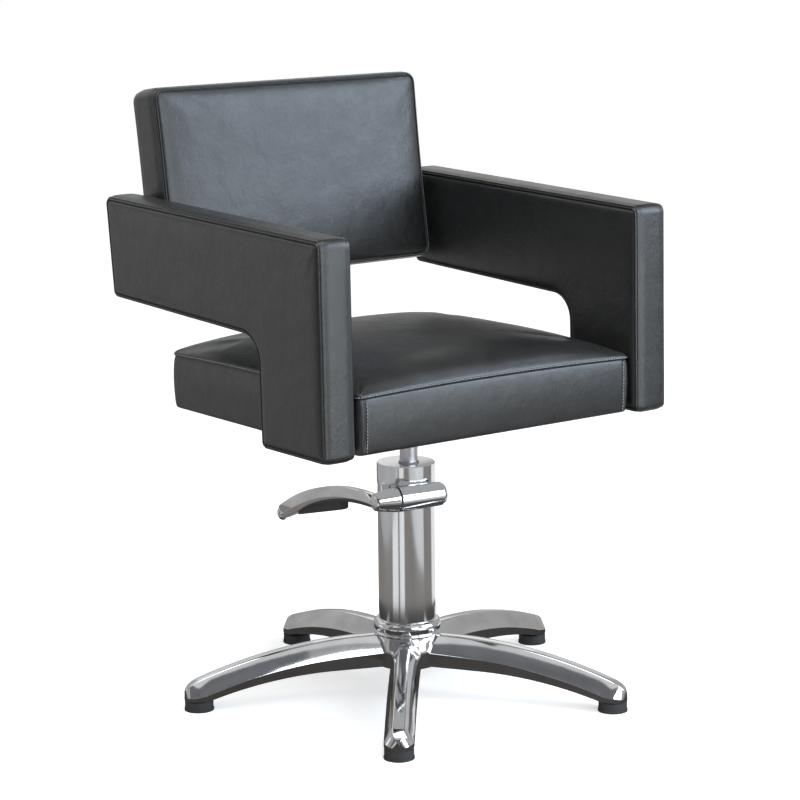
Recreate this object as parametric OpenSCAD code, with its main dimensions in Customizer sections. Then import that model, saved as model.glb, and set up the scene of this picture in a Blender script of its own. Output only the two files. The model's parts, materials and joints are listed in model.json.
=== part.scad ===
// Hairdressing chair: boxed seat and back between two arms shaped like a seven, on a hydraulic
// pump with a foot lever and a five-legged star base. Millimetres, +Z up, the chair faces -Y.
// The origin is on the floor, on the axis of the column.

/* [Star base] */
// Distance from the column axis to the middle of each foot
foot_pitch_r = 304; // [270:1:340]
// Turn of the star against the seat as the chair stands, in degrees
star_turn = -3.4; // [-30:0.1:30]
// Height of the ridge of a leg where it leaves the hub
leg_top_z = 88; // [80:1:100]
// Height of the underside of a leg at the hub
leg_low_z = 43; // [36:1:50]
// Radius of the arched ridge of a leg
leg_top_arc_r = 700; // [600:10:900]
// Radius of the arched underside of a leg
leg_low_arc_r = 615; // [560:5:800]
// Width of a leg at the foot
leg_w = 41; // [36:1:48]
// Width of a leg where it leaves the hub
leg_root_w = 50; // [44:1:60]
// Width of the flat strip along the ridge of a leg
leg_flat_w = 16; // [10:1:22]
// Radius of the hub between the legs
hub_r = 46; // [44:1:56]
// Wall of the casting over the hollow under a leg
cast_wall = 8; // [6:0.5:11]
// Radius of a rubber glide
glide_r = 20; // [16:0.5:22]
// Height of a rubber glide
glide_h = 14; // [10:0.5:18]

/* [Column] */
// Outer radius of the chromed casing
casing_r = 40.4; // [38:0.1:46]
// Wall of the casing
casing_wall = 2; // [1.5:0.1:3]
// Height of the top of the cap above the floor
cap_top_z = 335; // [320:1:350]
// Height of the band of the cap
cap_h = 29; // [22:1:36]
// Radius of the piston rod
rod_r = 12.7; // [10:0.1:15]
// Distance of the rod in front of the column axis
rod_off = 8.5; // [4:0.5:10]
// Stroke of the piston
stroke = 140; // [100:5:145]
// Turn of the pump against the seat as the chair stands, in degrees
pump_turn = -7.5; // [-30:0.5:30]

/* [Foot lever] */
// Height of the lever axis above the floor
axle_z = 295; // [280:1:305]
// Distance of the lever axis in front of the column axis
axle_off = 50; // [46:0.5:56]
// Radius of the lever housing at the seam
housing_r = 18.2; // [16:0.1:20]
// Length of the lever housing
housing_len = 75; // [70:1:90]
// Length of the lever behind its axis
lever_len = 311; // [280:1:330]
// Width of the lever
lever_w = 25; // [20:1:30]
// Height of the lever where it leaves the eye
lever_h = 17; // [14:0.5:22]
// Radius of the arched top of the lever
lever_top_arc_r = 590; // [520:5:700]
// Radius of the arched underside of the lever
lever_low_arc_r = 570; // [520:5:700]

/* [Seat] */
// Clear width between the arms
arm_gap_w = 480; // [440:5:560]
// Depth of the seat from front to back
seat_d = 438; // [400:2:470]
// Distance of the middle of the seat behind the column axis
seat_shift = 14; // [0:1:24]
// Height of the underside of the seat above the floor
seat_z = 406; // [400:1:440]
// Height of the side panels of the seat, from underside to top seam
seat_h = 84; // [76:1:110]
// Rise of the crown above the top seam
seat_crown = 32; // [12:1:40]
// Gap between the seat and each arm
seat_gap = 4; // [2:0.5:8]

/* [Arms] */
// Thickness of an arm
arm_t = 55; // [50:1:70]
// Distance of the arm's rear behind the rear of the seat
arm_tail = 78; // [50:1:100]
// Distance of the arm's front ahead of the front of the seat
arm_lead = 11; // [0:1:20]
// Height of the arm's front above the underside of the seat
arm_front_h = 288; // [260:1:320]
// Height of the arm's rear above the underside of the seat
arm_rear_h = 300; // [270:1:330]
// Depth of the upper bar of the arm
bar_h = 141; // [110:1:150]
// Width of the front leg of the arm
leg_d = 144; // [130:1:170]
// Distance that the rear edge leans back over the depth of the bar
arm_rake = 17; // [0:1:30]

/* [Backrest] */
// Width of the backrest
back_w = 460; // [430:1:470]
// Height of the backrest along its slope
back_h = 275; // [230:1:330]
// Thickness of the backrest at its edges
back_t = 64; // [60:1:68]
// Backward lean of the backrest, in degrees
back_lean = 8; // [4:0.5:11]
// Depth of the lower front edge below the top of the arms' rear ends
back_sink = 124; // [110:1:130]
// Distance of that edge behind the rear of the seat
back_set = 0; // [-10:1:12]
// Rise of the crown on the front of the backrest
back_crown = 7; // [3:0.5:12]

/* [Hidden] */
$fn = 96;

// Shared clearances
overrun = 1;             // how far a cut runs past the face it opens
slide_fit = 0.05;        // radial running clearance of a shaft in its bore
soft_gap = 0.3;          // air round rubber and cloth that move past each other
thread_gap = 0.4;        // radial clearance of a bolt in a through hole

// Star base
legs = 5;
leg_step = 360 / legs;
hub_step = 1;
hub_top_z = leg_top_z - hub_step;
leg_start_r = 30;
leg_arc_start_r = 60;
leg_low_arc_start_r = 110;
leg_side_share_root = 0.45;
leg_side_share_foot = 0.3;
leg_low_bevel = 2;
leg_end_drop = 10;
leg_stations = 14;
leg_end_turns = [25, 50, 70, 85];
leg_end_flat_share = 0.5;
leg_side_bevel_share = 0.25;
boss_gap = 3;
boss_r = leg_w / 2 - boss_gap;
boss_h = 8;
hub_low_z = leg_low_z - hub_step;
spigot_r = 22;
hollow_w = 22;
hollow_root_gap = 14;
hollow_start_r = hub_r + hollow_root_gap;
hollow_end_r = foot_pitch_r - boss_r - cast_wall / 2;
hollow_stations = 8;
glide_lip_out = 0.8;
glide_lip_r = glide_r + glide_lip_out;
glide_lip_h = 3;
glide_recess_r = 14;
glide_recess_h = 1;
stud_r = 5;
stud_low = 5;
stud_h = 16;
stud_head_r = 9;
stud_head_h = 4;

// Trim ring at the foot of the column
ring_h = 22;
ring_r = 48.5;
ring_lip_r = 44.5;
ring_rim_h = 4;
ring_rim_r = 46;

// Pump
foot_plug_h = 16;
foot_seat_r = casing_r - casing_wall - slide_fit;
foot_nut_h = 12;
foot_nut_r = 16;
foot_washer_h = 3;
foot_washer_r = 30;
foot_thread_r = 10;
foot_thread_out = 3;
cap_wall = 2.4;
cap_top_t = 4;
cap_out = 0.9;
cap_r = casing_r + cap_out;
cap_edge = 1.2;
cap_low_z = cap_top_z - cap_h;
head_top_z = cap_top_z - cap_top_t;
head_r = casing_r - casing_wall - slide_fit;
head_drop = 35;
head_low_z = axle_z - head_drop;
head_skirt = 22;
rod_room = 1;
tube_r = 18;
tube_bore_r = 15;
tube_low_z = hub_top_z + foot_plug_h;
tube_top_z = head_low_z + head_skirt;
bush_r = 16.5;
bush_seat = 6;
bush_low_z = tube_top_z + bush_seat;
seal_h = 5;
bush_top_z = head_top_z - seal_h;
wiper_r = 14.4;
wiper_lip = 1.6;
wiper_in_r = rod_r + soft_gap;
piston_rest_gap = 2;
piston_low_z = tube_low_z + piston_rest_gap;
piston_spare = 7;
piston_h = tube_top_z - piston_low_z - stroke - piston_spare;
piston_seal_h = 6;
piston_seal_t = 2.4;
piston_lip = 4;
clip_h = 2;
clip_r = 9.5;
clip_groove_r = 7;
clip_pocket_h = 5;
journal_r = 8;

// Lever and plunger, along u (to the right of the pump) from the column axis
seam_u = -45;
seam_t = 2.6;
housing_end_u = seam_u + housing_len;
housing_taper = 1.2;
housing_end_r = housing_r - housing_taper;
housing_bevel = 5;
eye_out_u = -80;
eye_end_r = 12.6;
eye_bevel = 3;
shaft_r = 8;
shaft_set = 9;
shaft_in_u = eye_out_u + shaft_set;
shaft_out_u = housing_end_u - shaft_set;
lever_side_set = 1;
lever_mid_u = eye_out_u + lever_w / 2 - lever_side_set;
lever_stations = 16;
lever_peak = 22;
lever_straight = 215;
lever_mitre = 18;
lever_low_share = 0.7;
lever_low_drop_share = 0.59;
lever_ridge_root_share = 0.4;
lever_ridge_end_share = 0.27;
lever_top_share = 0.38;
lever_end_share = 0.8;
lever_back = 5;
lever_pad_first_station = 6;
lever_pad_last_station = 13;
lever_pad_t = 15;
lever_pad_tip_t = 5;
lever_pad_w = 13;
lever_pad_nose_share = 0.8;
lever_pad_slope_share = 0.25;
lever_pad_depth_share = 0.85;
crank_w = 14;
crank_hub_r = 12;
crank_arm = 17;
crank_nose_r = 4;
crank_web_low = 3;       // less than the nose, so that the lifted web clears the plunger's head
crank_play = 1.2;
crank_nose_gap = 0.2;
plunger_r = 3;
plunger_head_r = 4.6;
plunger_head_h = 3;
plunger_len = 46;
plunger_pocket_r = 4.95;
plunger_pocket_low = 15;
plunger_travel = 8;
spring_wire_r = 0.55;
plunger_coil_r = 4.15;
plunger_coils = 5;
lever_wire_r = 0.9;
lever_coil_r = 10.2;
lever_coils = 4;
lever_spring_u = 10;
lever_spring_len = 12;
coil_steps = 8;
wire_sides = 6;
screw_r = 3;
screw_u = -61;

// Seat
pad_corner_r = 16;
seat_edge_r = 8;
seat_edge_crown = 7;
seat_pull = 3;
seat_bulge = 2;
seat_front_y = seat_shift - seat_d / 2;
seat_rear_y = seat_shift + seat_d / 2;
seat_w = arm_gap_w - 2 * seat_gap;
frame_side = 8;
frame_w = seat_w - 2 * frame_side;
frame_d = seat_d - 2 * frame_side;
frame_low = 3;
rail_w = 22;
rail_h = 36;
board_t = 15;
board_low_z = seat_z + frame_low + rail_h;
board_top_z = board_low_z + board_t;
foam_edge = 5;
foam_h = seat_h - frame_low - rail_h - board_t - foam_edge;
foam_crown_less = 4;
foam_crown = seat_crown - foam_crown_less;
cover_return = 18;
lining_t = 1;
lining_hole_r = 60;
plate_t = 4;
plate_w = 170;
plate_corner_r = 12;
plate_bolt_gap = 130;
socket_r = 21;
socket_below = 14;
socket_top = 16;
socket_room = 3;
rod_in_socket = 22;
m8_r = 4;
m8_head_r = 6.5;
m8_head_h = 5;
tee_r = 5.5;
tee_h = 11;
tee_flange_r = 9;
tee_flange_h = 1.5;

// Arms
arm_edge_r = 6;
arm_crown = 1.6;
arm_core_t = 24;
arm_foam_t = 10;
arm_core_inset = 6;
arm_corner_r = 11;
arm_notch_r = 36;
arm_foot_r = 9;
arm_front_rake = 5;
arm_leg_rake = 5;
arm_inner_x = arm_gap_w / 2;
arm_front_y = seat_front_y - arm_lead;
arm_top_rear_y = seat_rear_y + arm_tail;
arm_skin = (arm_t - arm_core_t) / 2;
arm_bolts = 3;
arm_bolt_in = 20;

// Backrest
back_edge_r = 7;
back_pull = 2;
back_core_t = 38;
back_core_in = 8;
back_core_set = 16;
back_rail_w = 45;
back_foam_t = 12;
back_rear_crown = 2;
back_bolt_in = 34;
back_bolt_shares = [0.16, 0.36];
back_low_z = seat_z + arm_rear_h - back_sink;
back_low_y = seat_rear_y + back_set;
back_side_gap = arm_inner_x - back_w / 2;
spacer_r = 9;

// Facet counts of the soft forms and the lofts
corner_steps = 4;
side_steps = 5;
edge_depth_shares = [0, 0.12, 0.5, 1];
edge_inset_shares = [1, 0.5, 0.12, 0];
crown_steps_shares = [0.06, 0.14, 0.26, 0.45, 0.7];
arm_face_shares = [3.2, 2];

// Closed solid through rings of points, each end closed by a fan to a middle point
module loft(rings, first, last) {
    n = len(rings[0]);
    m = len(rings);
    points = concat([for (r = rings) each r], [first, last]);
    walls = [for (j = [0 : m - 2], i = [0 : n - 1])
        let (a = j * n + i, b = j * n + (i + 1) % n, c = a + n, d = b + n)
        each [[a, c, d], [a, d, b]]];
    caps = [for (i = [0 : n - 1]) let (k = (i + 1) % n)
        each [[i, k, n * m], [(m - 1) * n + k, (m - 1) * n + i, n * m + 1]]];
    polyhedron(points, concat(walls, caps));
}

// Arc of points round a centre, from one angle over a quarter turn
function quarter(c, r, from) =
    [for (i = [0 : corner_steps]) let (a = from + 90 * i / corner_steps) c + r * [cos(a), sin(a)]];

// Points between two corners, drawn in towards the middle of the side
function drawn_side(p, q, inward, pull) =
    [for (i = [1 : side_steps]) let (t = i / (side_steps + 1))
        p + (q - p) * t + inward * pull * sin(180 * t)];

// Outline of a cushion: a rounded rectangle whose sides are drawn in, anticlockwise
function cushion_outline(hx, hy, r, pull) = concat(
    quarter([hx - r, hy - r], r, 0),
    drawn_side([hx - r, hy], [r - hx, hy], [0, -1], pull),
    quarter([r - hx, hy - r], r, 90),
    drawn_side([-hx, hy - r], [-hx, r - hy], [1, 0], pull),
    quarter([r - hx, r - hy], r, 180),
    drawn_side([r - hx, -hy], [hx - r, -hy], [0, 1], pull),
    quarter([hx - r, r - hy], r, 270),
    drawn_side([hx, r - hy], [hx, hy - r], [-1, 0], pull));

// How much a point of the outline takes of the crown of its edge: all in mid side, none in a corner
function edge_share(p, hx, hy) = max(1 - pow(abs(p[0]) / hx, 2), 1 - pow(abs(p[1]) / hy, 2), 0);

// One ring of a cushion, drawn in by inset, with its edge raised by rise in mid side
function cushion_ring(hx, hy, inset, r, pull, z, rise) =
    [for (p = cushion_outline(hx - inset, hy - inset, max(r - inset, r / 4), pull))
        [p[0], p[1], z + rise * edge_share(p, hx - inset, hy - inset)]];

// Cushion of a boxed form: round edges, bulging sides drawn in along their length, crowned faces
module cushion(w, d, h, edge_r, crown, low_crown, edge_rise, pull, bulge) {
    hx = w / 2;
    hy = d / 2;
    reach = min(hx, hy);
    low = [for (i = [0 : 3]) cushion_ring(hx, hy, edge_r * edge_inset_shares[i], pad_corner_r, pull,
        edge_r * edge_depth_shares[i], 0)];
    mid = [cushion_ring(hx, hy, -bulge, pad_corner_r, pull, h / 2, edge_rise / 2)];
    high = [for (i = [3 : -1 : 0]) cushion_ring(hx, hy, edge_r * edge_inset_shares[i], pad_corner_r, pull,
        h - edge_r * edge_depth_shares[i], edge_rise)];
    top = [for (s = crown_steps_shares) cushion_ring(hx, hy, edge_r + (reach - edge_r) * s, pad_corner_r,
        pull * (1 - s), h + crown * (1 - pow(1 - s, 4)), edge_rise * (1 - s))];
    under = low_crown == 0 ? [] : [for (k = [len(crown_steps_shares) - 1 : -1 : 0])
        let (s = crown_steps_shares[k]) cushion_ring(hx, hy, edge_r + (reach - edge_r) * s, pad_corner_r,
        pull * (1 - s), -low_crown * (1 - pow(1 - s, 4)), 0)];
    loft(concat(under, low, mid, high, top), [0, 0, -low_crown], [0, 0, h + crown]);
}

// Helical wire of round section standing on +Z, its ends cut square to the wire
module coil(r, wire, turns, height) {
    steps = turns * coil_steps;
    rings = [for (k = [0 : steps]) let (a = 360 * k / coil_steps, z = wire + (height - 2 * wire) * k / steps)
        [for (i = [0 : wire_sides - 1]) let (b = -360 * i / wire_sides)
            [(r + wire * cos(b)) * cos(a), (r + wire * cos(b)) * sin(a), z + wire * sin(b)]]];
    end = steps * 360 / coil_steps;
    loft(rings, [r, 0, wire], [r * cos(end), r * sin(end), height - wire]);
}

// Frames of the groups: the star, the pump with its lever, and the axis of the rod
module at_star() { rotate([0, 0, star_turn]) children(); }
module at_pump() { rotate([0, 0, pump_turn]) children(); }
module at_rod() { at_pump() translate([0, -rod_off, 0]) children(); }
module at_foot(k) { rotate([0, 0, leg_step * (k - 1 / 2)]) translate([0, -foot_pitch_r, 0]) children(); }
module on_axle(u) { translate([u, -axle_off, axle_z]) rotate([0, 90, 0]) children(); }

// Ring or washer round the axis
module washer(outer, inner, h) {
    difference() {
        cylinder(r = outer, h = h);
        translate([0, 0, -overrun]) cylinder(r = inner, h = h + 2 * overrun);
    }
}

// Drop of an arc below its start, and the ridge and underside of a leg at radius r
function arc_drop(x, arc_r) = x <= 0 ? 0 : arc_r - sqrt(arc_r * arc_r - x * x);
function leg_top(r) = leg_top_z - arc_drop(r - leg_arc_start_r, leg_top_arc_r);
function leg_low(r) = max(leg_low_z - arc_drop(r - leg_low_arc_start_r, leg_low_arc_r), glide_h);
function leg_half(r) =
    let (t = min(max((r - hub_r) / (foot_pitch_r / 3), 0), 1), past = max(r - foot_pitch_r, 0))
    min(leg_root_w / 2 * (1 - t) + leg_w / 2 * t, sqrt(leg_w * leg_w / 4 - past * past));

// Section of a leg: flat ridge, two long bevels, upright sides and a small bevel below
function leg_ring(r, drop) =
    let (t = min(max((r - hub_r) / (foot_pitch_r - hub_r), 0), 1),
        side = leg_side_share_root * (1 - t) + leg_side_share_foot * t,
        top = leg_top(r) - drop, low = leg_low(r), mid = low + (top - low) * side,
        w = leg_half(r), f = min(leg_flat_w / 2, w * leg_end_flat_share),
        b = min(leg_low_bevel, w * leg_side_bevel_share))
    [[f, -r, top], [-f, -r, top], [-w, -r, mid], [-w, -r, low + b],
        [b - w, -r, low], [w - b, -r, low], [w, -r, low + b], [w, -r, mid]];

module leg() {
    span = foot_pitch_r - leg_start_r;
    tip_r = foot_pitch_r + leg_w / 2 * sin(leg_end_turns[len(leg_end_turns) - 1]);
    rings = concat(
        [for (i = [0 : leg_stations]) leg_ring(leg_start_r + span * i / leg_stations, 0)],
        [for (a = leg_end_turns) leg_ring(foot_pitch_r + leg_w / 2 * sin(a), leg_end_drop * (1 - cos(a)))]);
    loft(rings, [0, -leg_start_r, (leg_top(leg_start_r) + leg_low(leg_start_r)) / 2],
        [0, -tip_r, glide_h + leg_w / 8]);
}

// Hollow under a leg, as wide as a core that the mould leaves
module leg_hollow() {
    span = hollow_end_r - hollow_start_r;
    top = [for (i = [0 : hollow_stations]) let (r = hollow_start_r + span * i / hollow_stations)
        [r, leg_top(r) - cast_wall]];
    rotate([90, 0, -90]) translate([0, 0, -hollow_w / 2]) linear_extrude(height = hollow_w)
        polygon(concat([[hollow_start_r, 0]], top, [[hollow_end_r, 0]]));
}

module star_base() {
    color("gainsboro") at_star() difference() {
        union() {
            translate([0, 0, hub_low_z]) cylinder(r = hub_r, h = hub_top_z - hub_low_z);
            for (k = [0 : legs - 1]) {
                rotate([0, 0, leg_step * (k - 1 / 2)]) leg();
                at_foot(k) translate([0, 0, glide_h]) cylinder(r = boss_r, h = boss_h);
            }
        }
        translate([0, 0, hub_low_z - overrun]) cylinder(r = spigot_r + slide_fit, h = leg_top_z);
        translate([0, 0, hub_top_z]) cylinder(r = ring_r + thread_gap, h = leg_top_z);
        for (k = [0 : legs - 1]) {
            rotate([0, 0, leg_step * (k - 1 / 2)]) leg_hollow();
            at_foot(k) translate([0, 0, glide_h - overrun]) cylinder(r = stud_r, h = stud_h + overrun);
        }
    }
}

module glide(k) {
    color("black") at_star() at_foot(k) difference() {
        union() {
            cylinder(r = glide_lip_r, h = glide_lip_h);
            cylinder(r = glide_r, h = glide_h);
        }
        translate([0, 0, -overrun]) cylinder(r = glide_recess_r, h = glide_recess_h + overrun);
        translate([0, 0, stud_low]) cylinder(r = stud_head_r, h = stud_head_h);
        translate([0, 0, stud_low]) cylinder(r = stud_r, h = glide_h);
    }
}

module glide_studs() {
    color("silver") at_star() for (k = [0 : legs - 1]) at_foot(k) translate([0, 0, stud_low]) {
        cylinder(r = stud_head_r, h = stud_head_h);
        cylinder(r = stud_r, h = glide_h - stud_low + stud_h);
    }
}

module base_ring() {
    belly = (ring_h - ring_rim_h) / 2;
    color("silver") at_pump() translate([0, 0, hub_top_z]) rotate_extrude() polygon([
        [casing_r + slide_fit, 0], [ring_rim_r, 0], [ring_rim_r, ring_rim_h],
        for (a = [-60 : 20 : 60]) [ring_lip_r + (ring_r - ring_lip_r) * cos(a) * cos(a),
            ring_rim_h + belly + belly * sin(a) / sin(60)],
        [casing_r + slide_fit, ring_h]]);
}

// Lower plug of the pump, with the spigot that fits the hub and the thread below it
module pump_foot() {
    thread_low_z = hub_low_z - foot_washer_h - foot_nut_h - foot_thread_out;
    color("dimgray") at_pump() {
        translate([0, 0, hub_top_z]) cylinder(r = foot_seat_r, h = foot_plug_h);
        translate([0, 0, hub_low_z]) cylinder(r = spigot_r, h = hub_top_z - hub_low_z);
        translate([0, 0, thread_low_z]) cylinder(r = foot_thread_r, h = hub_low_z - thread_low_z);
    }
}

module foot_washer() {
    color("silver") at_pump() translate([0, 0, hub_low_z - foot_washer_h])
        washer(foot_washer_r, foot_thread_r + thread_gap, foot_washer_h);
}

module foot_nut() {
    color("silver") at_pump() translate([0, 0, hub_low_z - foot_washer_h - foot_nut_h]) difference() {
        cylinder(r = foot_nut_r, h = foot_nut_h, $fn = 6);
        translate([0, 0, -overrun]) cylinder(r = foot_thread_r, h = foot_nut_h + 2 * overrun);
    }
}

// Space that the lever housing takes, which casing and cap leave free
module housing_room() {
    on_axle(seam_u - overrun) cylinder(r = housing_r + soft_gap, h = housing_len + 2 * overrun);
}

module pump_casing() {
    color("silver") at_pump() difference() {
        translate([0, 0, hub_top_z]) washer(casing_r, casing_r - casing_wall, cap_low_z - hub_top_z);
        housing_room();
    }
}

module cylinder_tube() {
    color("gray") at_rod() translate([0, 0, tube_low_z])
        washer(tube_r, tube_bore_r, tube_top_z - tube_low_z);
}

// Outline of the lever housing and its seam, turned round the lever axis
module housing_turned() {
    on_axle(seam_u + seam_t) rotate_extrude() polygon([[0, 0], [housing_r, 0],
        [housing_end_r, housing_len - seam_t - housing_bevel],
        [housing_end_r - housing_bevel / 2, housing_len - seam_t], [0, housing_len - seam_t]]);
}

// Head casting: a plug in the casing, with the bores of the rod, the shaft and the plunger
module pump_body() {
    color("silver") at_pump() difference() {
        union() {
            translate([0, 0, head_low_z]) cylinder(r = head_r, h = head_top_z - head_low_z);
            housing_turned();
        }
        translate([0, -rod_off, head_low_z - overrun]) cylinder(r = tube_r, h = head_skirt + overrun);
        translate([0, -rod_off, head_low_z]) cylinder(r = rod_r + rod_room, h = cap_top_z);
        translate([0, -rod_off, bush_low_z]) cylinder(r = bush_r, h = cap_top_z);
        on_axle(seam_u) cylinder(r = shaft_r + slide_fit, h = shaft_out_u - seam_u + overrun);
        on_axle(lever_spring_u) cylinder(r = lever_coil_r + lever_wire_r + soft_gap, h = lever_spring_len);
        on_axle(-crank_w / 2 - crank_play)
            cylinder(r = crank_hub_r + crank_play, h = crank_w + 2 * crank_play);
        translate([-crank_w / 2 - crank_play, -axle_off, axle_z - crank_hub_r - crank_play])
            cube([crank_w + 2 * crank_play, crank_arm + crank_nose_r + crank_play,
                2 * (crank_hub_r + crank_play)]);
        translate([0, crank_arm - axle_off, axle_z - plunger_pocket_low - plunger_travel])
            cylinder(r = plunger_pocket_r, h = plunger_pocket_low + plunger_travel);
        translate([0, crank_arm - axle_off, head_low_z - overrun])
            cylinder(r = plunger_r + slide_fit, h = axle_z - head_low_z);
    }
}

module pump_cap() {
    color("silver") at_pump() difference() {
        rotate_extrude() polygon([[0, cap_low_z], [cap_r, cap_low_z], [cap_r, cap_top_z - cap_edge],
            [cap_r - cap_edge, cap_top_z], [0, cap_top_z]]);
        translate([0, 0, cap_low_z - overrun])
            cylinder(r = cap_r - cap_wall, h = cap_h - cap_top_t + overrun);
        translate([0, -rod_off, cap_low_z]) cylinder(r = wiper_r, h = cap_h + overrun);
        housing_room();
    }
}

module guide_bush() {
    color("goldenrod") at_rod() translate([0, 0, bush_low_z])
        washer(bush_r, rod_r + slide_fit, bush_top_z - bush_low_z);
}

module rod_seal() {
    color("black") at_rod() translate([0, 0, bush_top_z]) washer(bush_r, wiper_in_r, seal_h);
}

module rod_wiper() {
    color("dimgray") at_rod() translate([0, 0, head_top_z])
        washer(wiper_r, wiper_in_r, cap_top_t + wiper_lip);
}

module lever_seal() {
    color("black") at_pump() on_axle(seam_u + soft_gap)
        washer(housing_r - seam_t / 4, shaft_r + soft_gap, seam_t - soft_gap);
}

module lever_spring() {
    color("gray") at_pump() on_axle(lever_spring_u)
        coil(lever_coil_r, lever_wire_r, lever_coils, lever_spring_len);
}

module plunger_spring() {
    floor_z = axle_z - plunger_pocket_low - plunger_travel;
    head_low = axle_z - crank_nose_r - crank_nose_gap - plunger_head_h;
    color("gray") at_pump() translate([0, crank_arm - axle_off, floor_z])
        coil(plunger_coil_r, spring_wire_r, plunger_coils, head_low - floor_z);
}

module piston() {
    color("silver") at_rod() translate([0, 0, piston_low_z]) difference() {
        cylinder(r = tube_bore_r - slide_fit, h = piston_h);
        translate([0, 0, clip_pocket_h]) cylinder(r = journal_r + slide_fit, h = piston_h);
        translate([0, 0, -overrun]) cylinder(r = clip_r + soft_gap, h = clip_pocket_h + overrun + slide_fit);
        translate([0, 0, piston_h - piston_lip]) cylinder(r = rod_r + slide_fit, h = piston_h);
        translate([0, 0, (piston_h - piston_seal_h) / 2])
            washer(tube_bore_r + overrun, tube_bore_r - piston_seal_t, piston_seal_h);
    }
}

module piston_seal() {
    color("black") at_rod() translate([0, 0, piston_low_z + (piston_h - piston_seal_h) / 2])
        washer(tube_bore_r - slide_fit, tube_bore_r - piston_seal_t, piston_seal_h);
}

// The clip sits in the groove of the rod and holds the piston up against the shoulder
module rod_clip() {
    color("gray") at_rod() translate([0, 0, piston_low_z + clip_pocket_h - clip_h])
        washer(clip_r, clip_groove_r, clip_h);
}

module piston_rod() {
    shoulder_z = piston_low_z + piston_h - piston_lip + slide_fit;
    rod_top_z = board_low_z - plate_t + rod_in_socket - socket_below;
    color("silver") at_rod() difference() {
        union() {
            translate([0, 0, shoulder_z]) cylinder(r = rod_r, h = rod_top_z - shoulder_z);
            translate([0, 0, piston_low_z + overrun])
                cylinder(r = journal_r, h = shoulder_z - piston_low_z - overrun);
        }
        translate([0, 0, piston_low_z + clip_pocket_h - clip_h])
            washer(journal_r + overrun, clip_groove_r, clip_h);
    }
}

// Top and underside of the lever at a distance w behind its axis
lever_low_z = axle_z - lever_h * lever_low_drop_share;
function lever_top(w) = lever_low_z + lever_h - arc_drop(abs(w - lever_peak), lever_top_arc_r);
function lever_low(w) =
    let (near = min(w, lever_straight), far = max(w - lever_straight, 0), r = lever_low_arc_r)
    lever_low_z - arc_drop(near, r) - far * near / sqrt(r * r - near * near);
function lever_at(i) = -lever_back + (lever_len + lever_back) * i / lever_stations;
function lever_lean(w) = lever_mitre * max(w, 0) / lever_len;
function lever_low_at(i) = let (w = lever_at(i) - lever_lean(lever_at(i))) [w, lever_low(w)];

// Section of the lever: flat top, long bevels to a ridge on each side, narrower underside; the
// sections lean with the arch, their underside less far out than their top
function lever_ring(w, narrow) =
    let (t = max(w, 0) / lever_len, lean = lever_lean(w), h = lever_w / 2 * narrow,
        share = lever_ridge_root_share * (1 - t) + lever_ridge_end_share * t,
        top = lever_top(w), low = lever_low(w - lean), cut = (top - low) * (1 - narrow) / 2,
        mid_w = w - lean * (1 - share), mid = low + (top - low) * share)
    [[-lever_top_share * h, w, top - cut], [lever_top_share * h, w, top - cut], [h, mid_w, mid],
        [lever_low_share * h, w - lean, low + cut], [-lever_low_share * h, w - lean, low + cut],
        [-h, mid_w, mid]];

module pump_lever() {
    end_bevel = lever_w / 5;
    rings = concat([for (i = [0 : lever_stations - 1]) lever_ring(lever_at(i), 1)],
        [lever_ring(lever_len - end_bevel, 1), lever_ring(lever_len, lever_end_share)]);
    color("silver") at_pump() difference() {
        union() {
            translate([lever_mid_u, -axle_off, 0]) loft(rings,
                [0, -lever_back, (lever_top(0) + lever_low(0)) / 2],
                [0, lever_len - lever_mitre / 2,
                    (lever_top(lever_len) + lever_low(lever_len - lever_mitre)) / 2]);
            on_axle(eye_out_u) rotate_extrude() polygon([[0, 0], [eye_end_r - eye_bevel, 0],
                [eye_end_r, eye_bevel], [housing_r, seam_u - eye_out_u], [0, seam_u - eye_out_u]]);
        }
        on_axle(shaft_in_u) cylinder(r = shaft_r, h = housing_len);
        translate([screw_u, -axle_off, axle_z - housing_r - overrun]) cylinder(r = screw_r, h = housing_r);
    }
}

// Rubber pad that fills the arch under the lever, straight below and with a round nose
module lever_pad() {
    first = lever_low_at(lever_pad_first_station);
    last = lever_low_at(lever_pad_last_station);
    deep = first[1] - lever_pad_t * lever_pad_depth_share;
    nose = lever_pad_t * lever_pad_nose_share;
    color("black") at_pump() translate([lever_mid_u - lever_pad_w / 2, -axle_off, 0])
        rotate([90, 0, 90]) linear_extrude(height = lever_pad_w) polygon(concat(
            [for (i = [lever_pad_first_station : lever_pad_last_station]) lever_low_at(i)],
            [[last[0], last[1] - lever_pad_tip_t], [first[0] + nose, deep - nose * lever_pad_slope_share],
                [first[0] + nose / 4, deep], [first[0], deep + nose / 4]]));
}

module lever_shaft() {
    color("gray") at_pump() on_axle(shaft_in_u) cylinder(r = shaft_r, h = shaft_out_u - shaft_in_u);
}

// Arm on the shaft whose round nose pushes the plunger
module crank() {
    color("gray") at_pump() difference() {
        union() {
            on_axle(-crank_w / 2) cylinder(r = crank_hub_r, h = crank_w);
            translate([0, crank_arm, 0]) on_axle(-crank_w / 2) cylinder(r = crank_nose_r, h = crank_w);
            translate([-crank_w / 2, -axle_off, axle_z - crank_web_low])
                cube([crank_w, crank_arm, crank_web_low + crank_nose_r]);
        }
        on_axle(-crank_w) cylinder(r = shaft_r, h = 2 * crank_w);
    }
}

module lever_screw() {
    color("dimgray") at_pump() translate([screw_u, -axle_off, axle_z - eye_end_r])
        cylinder(r = screw_r, h = eye_end_r - shaft_r);
}

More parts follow.
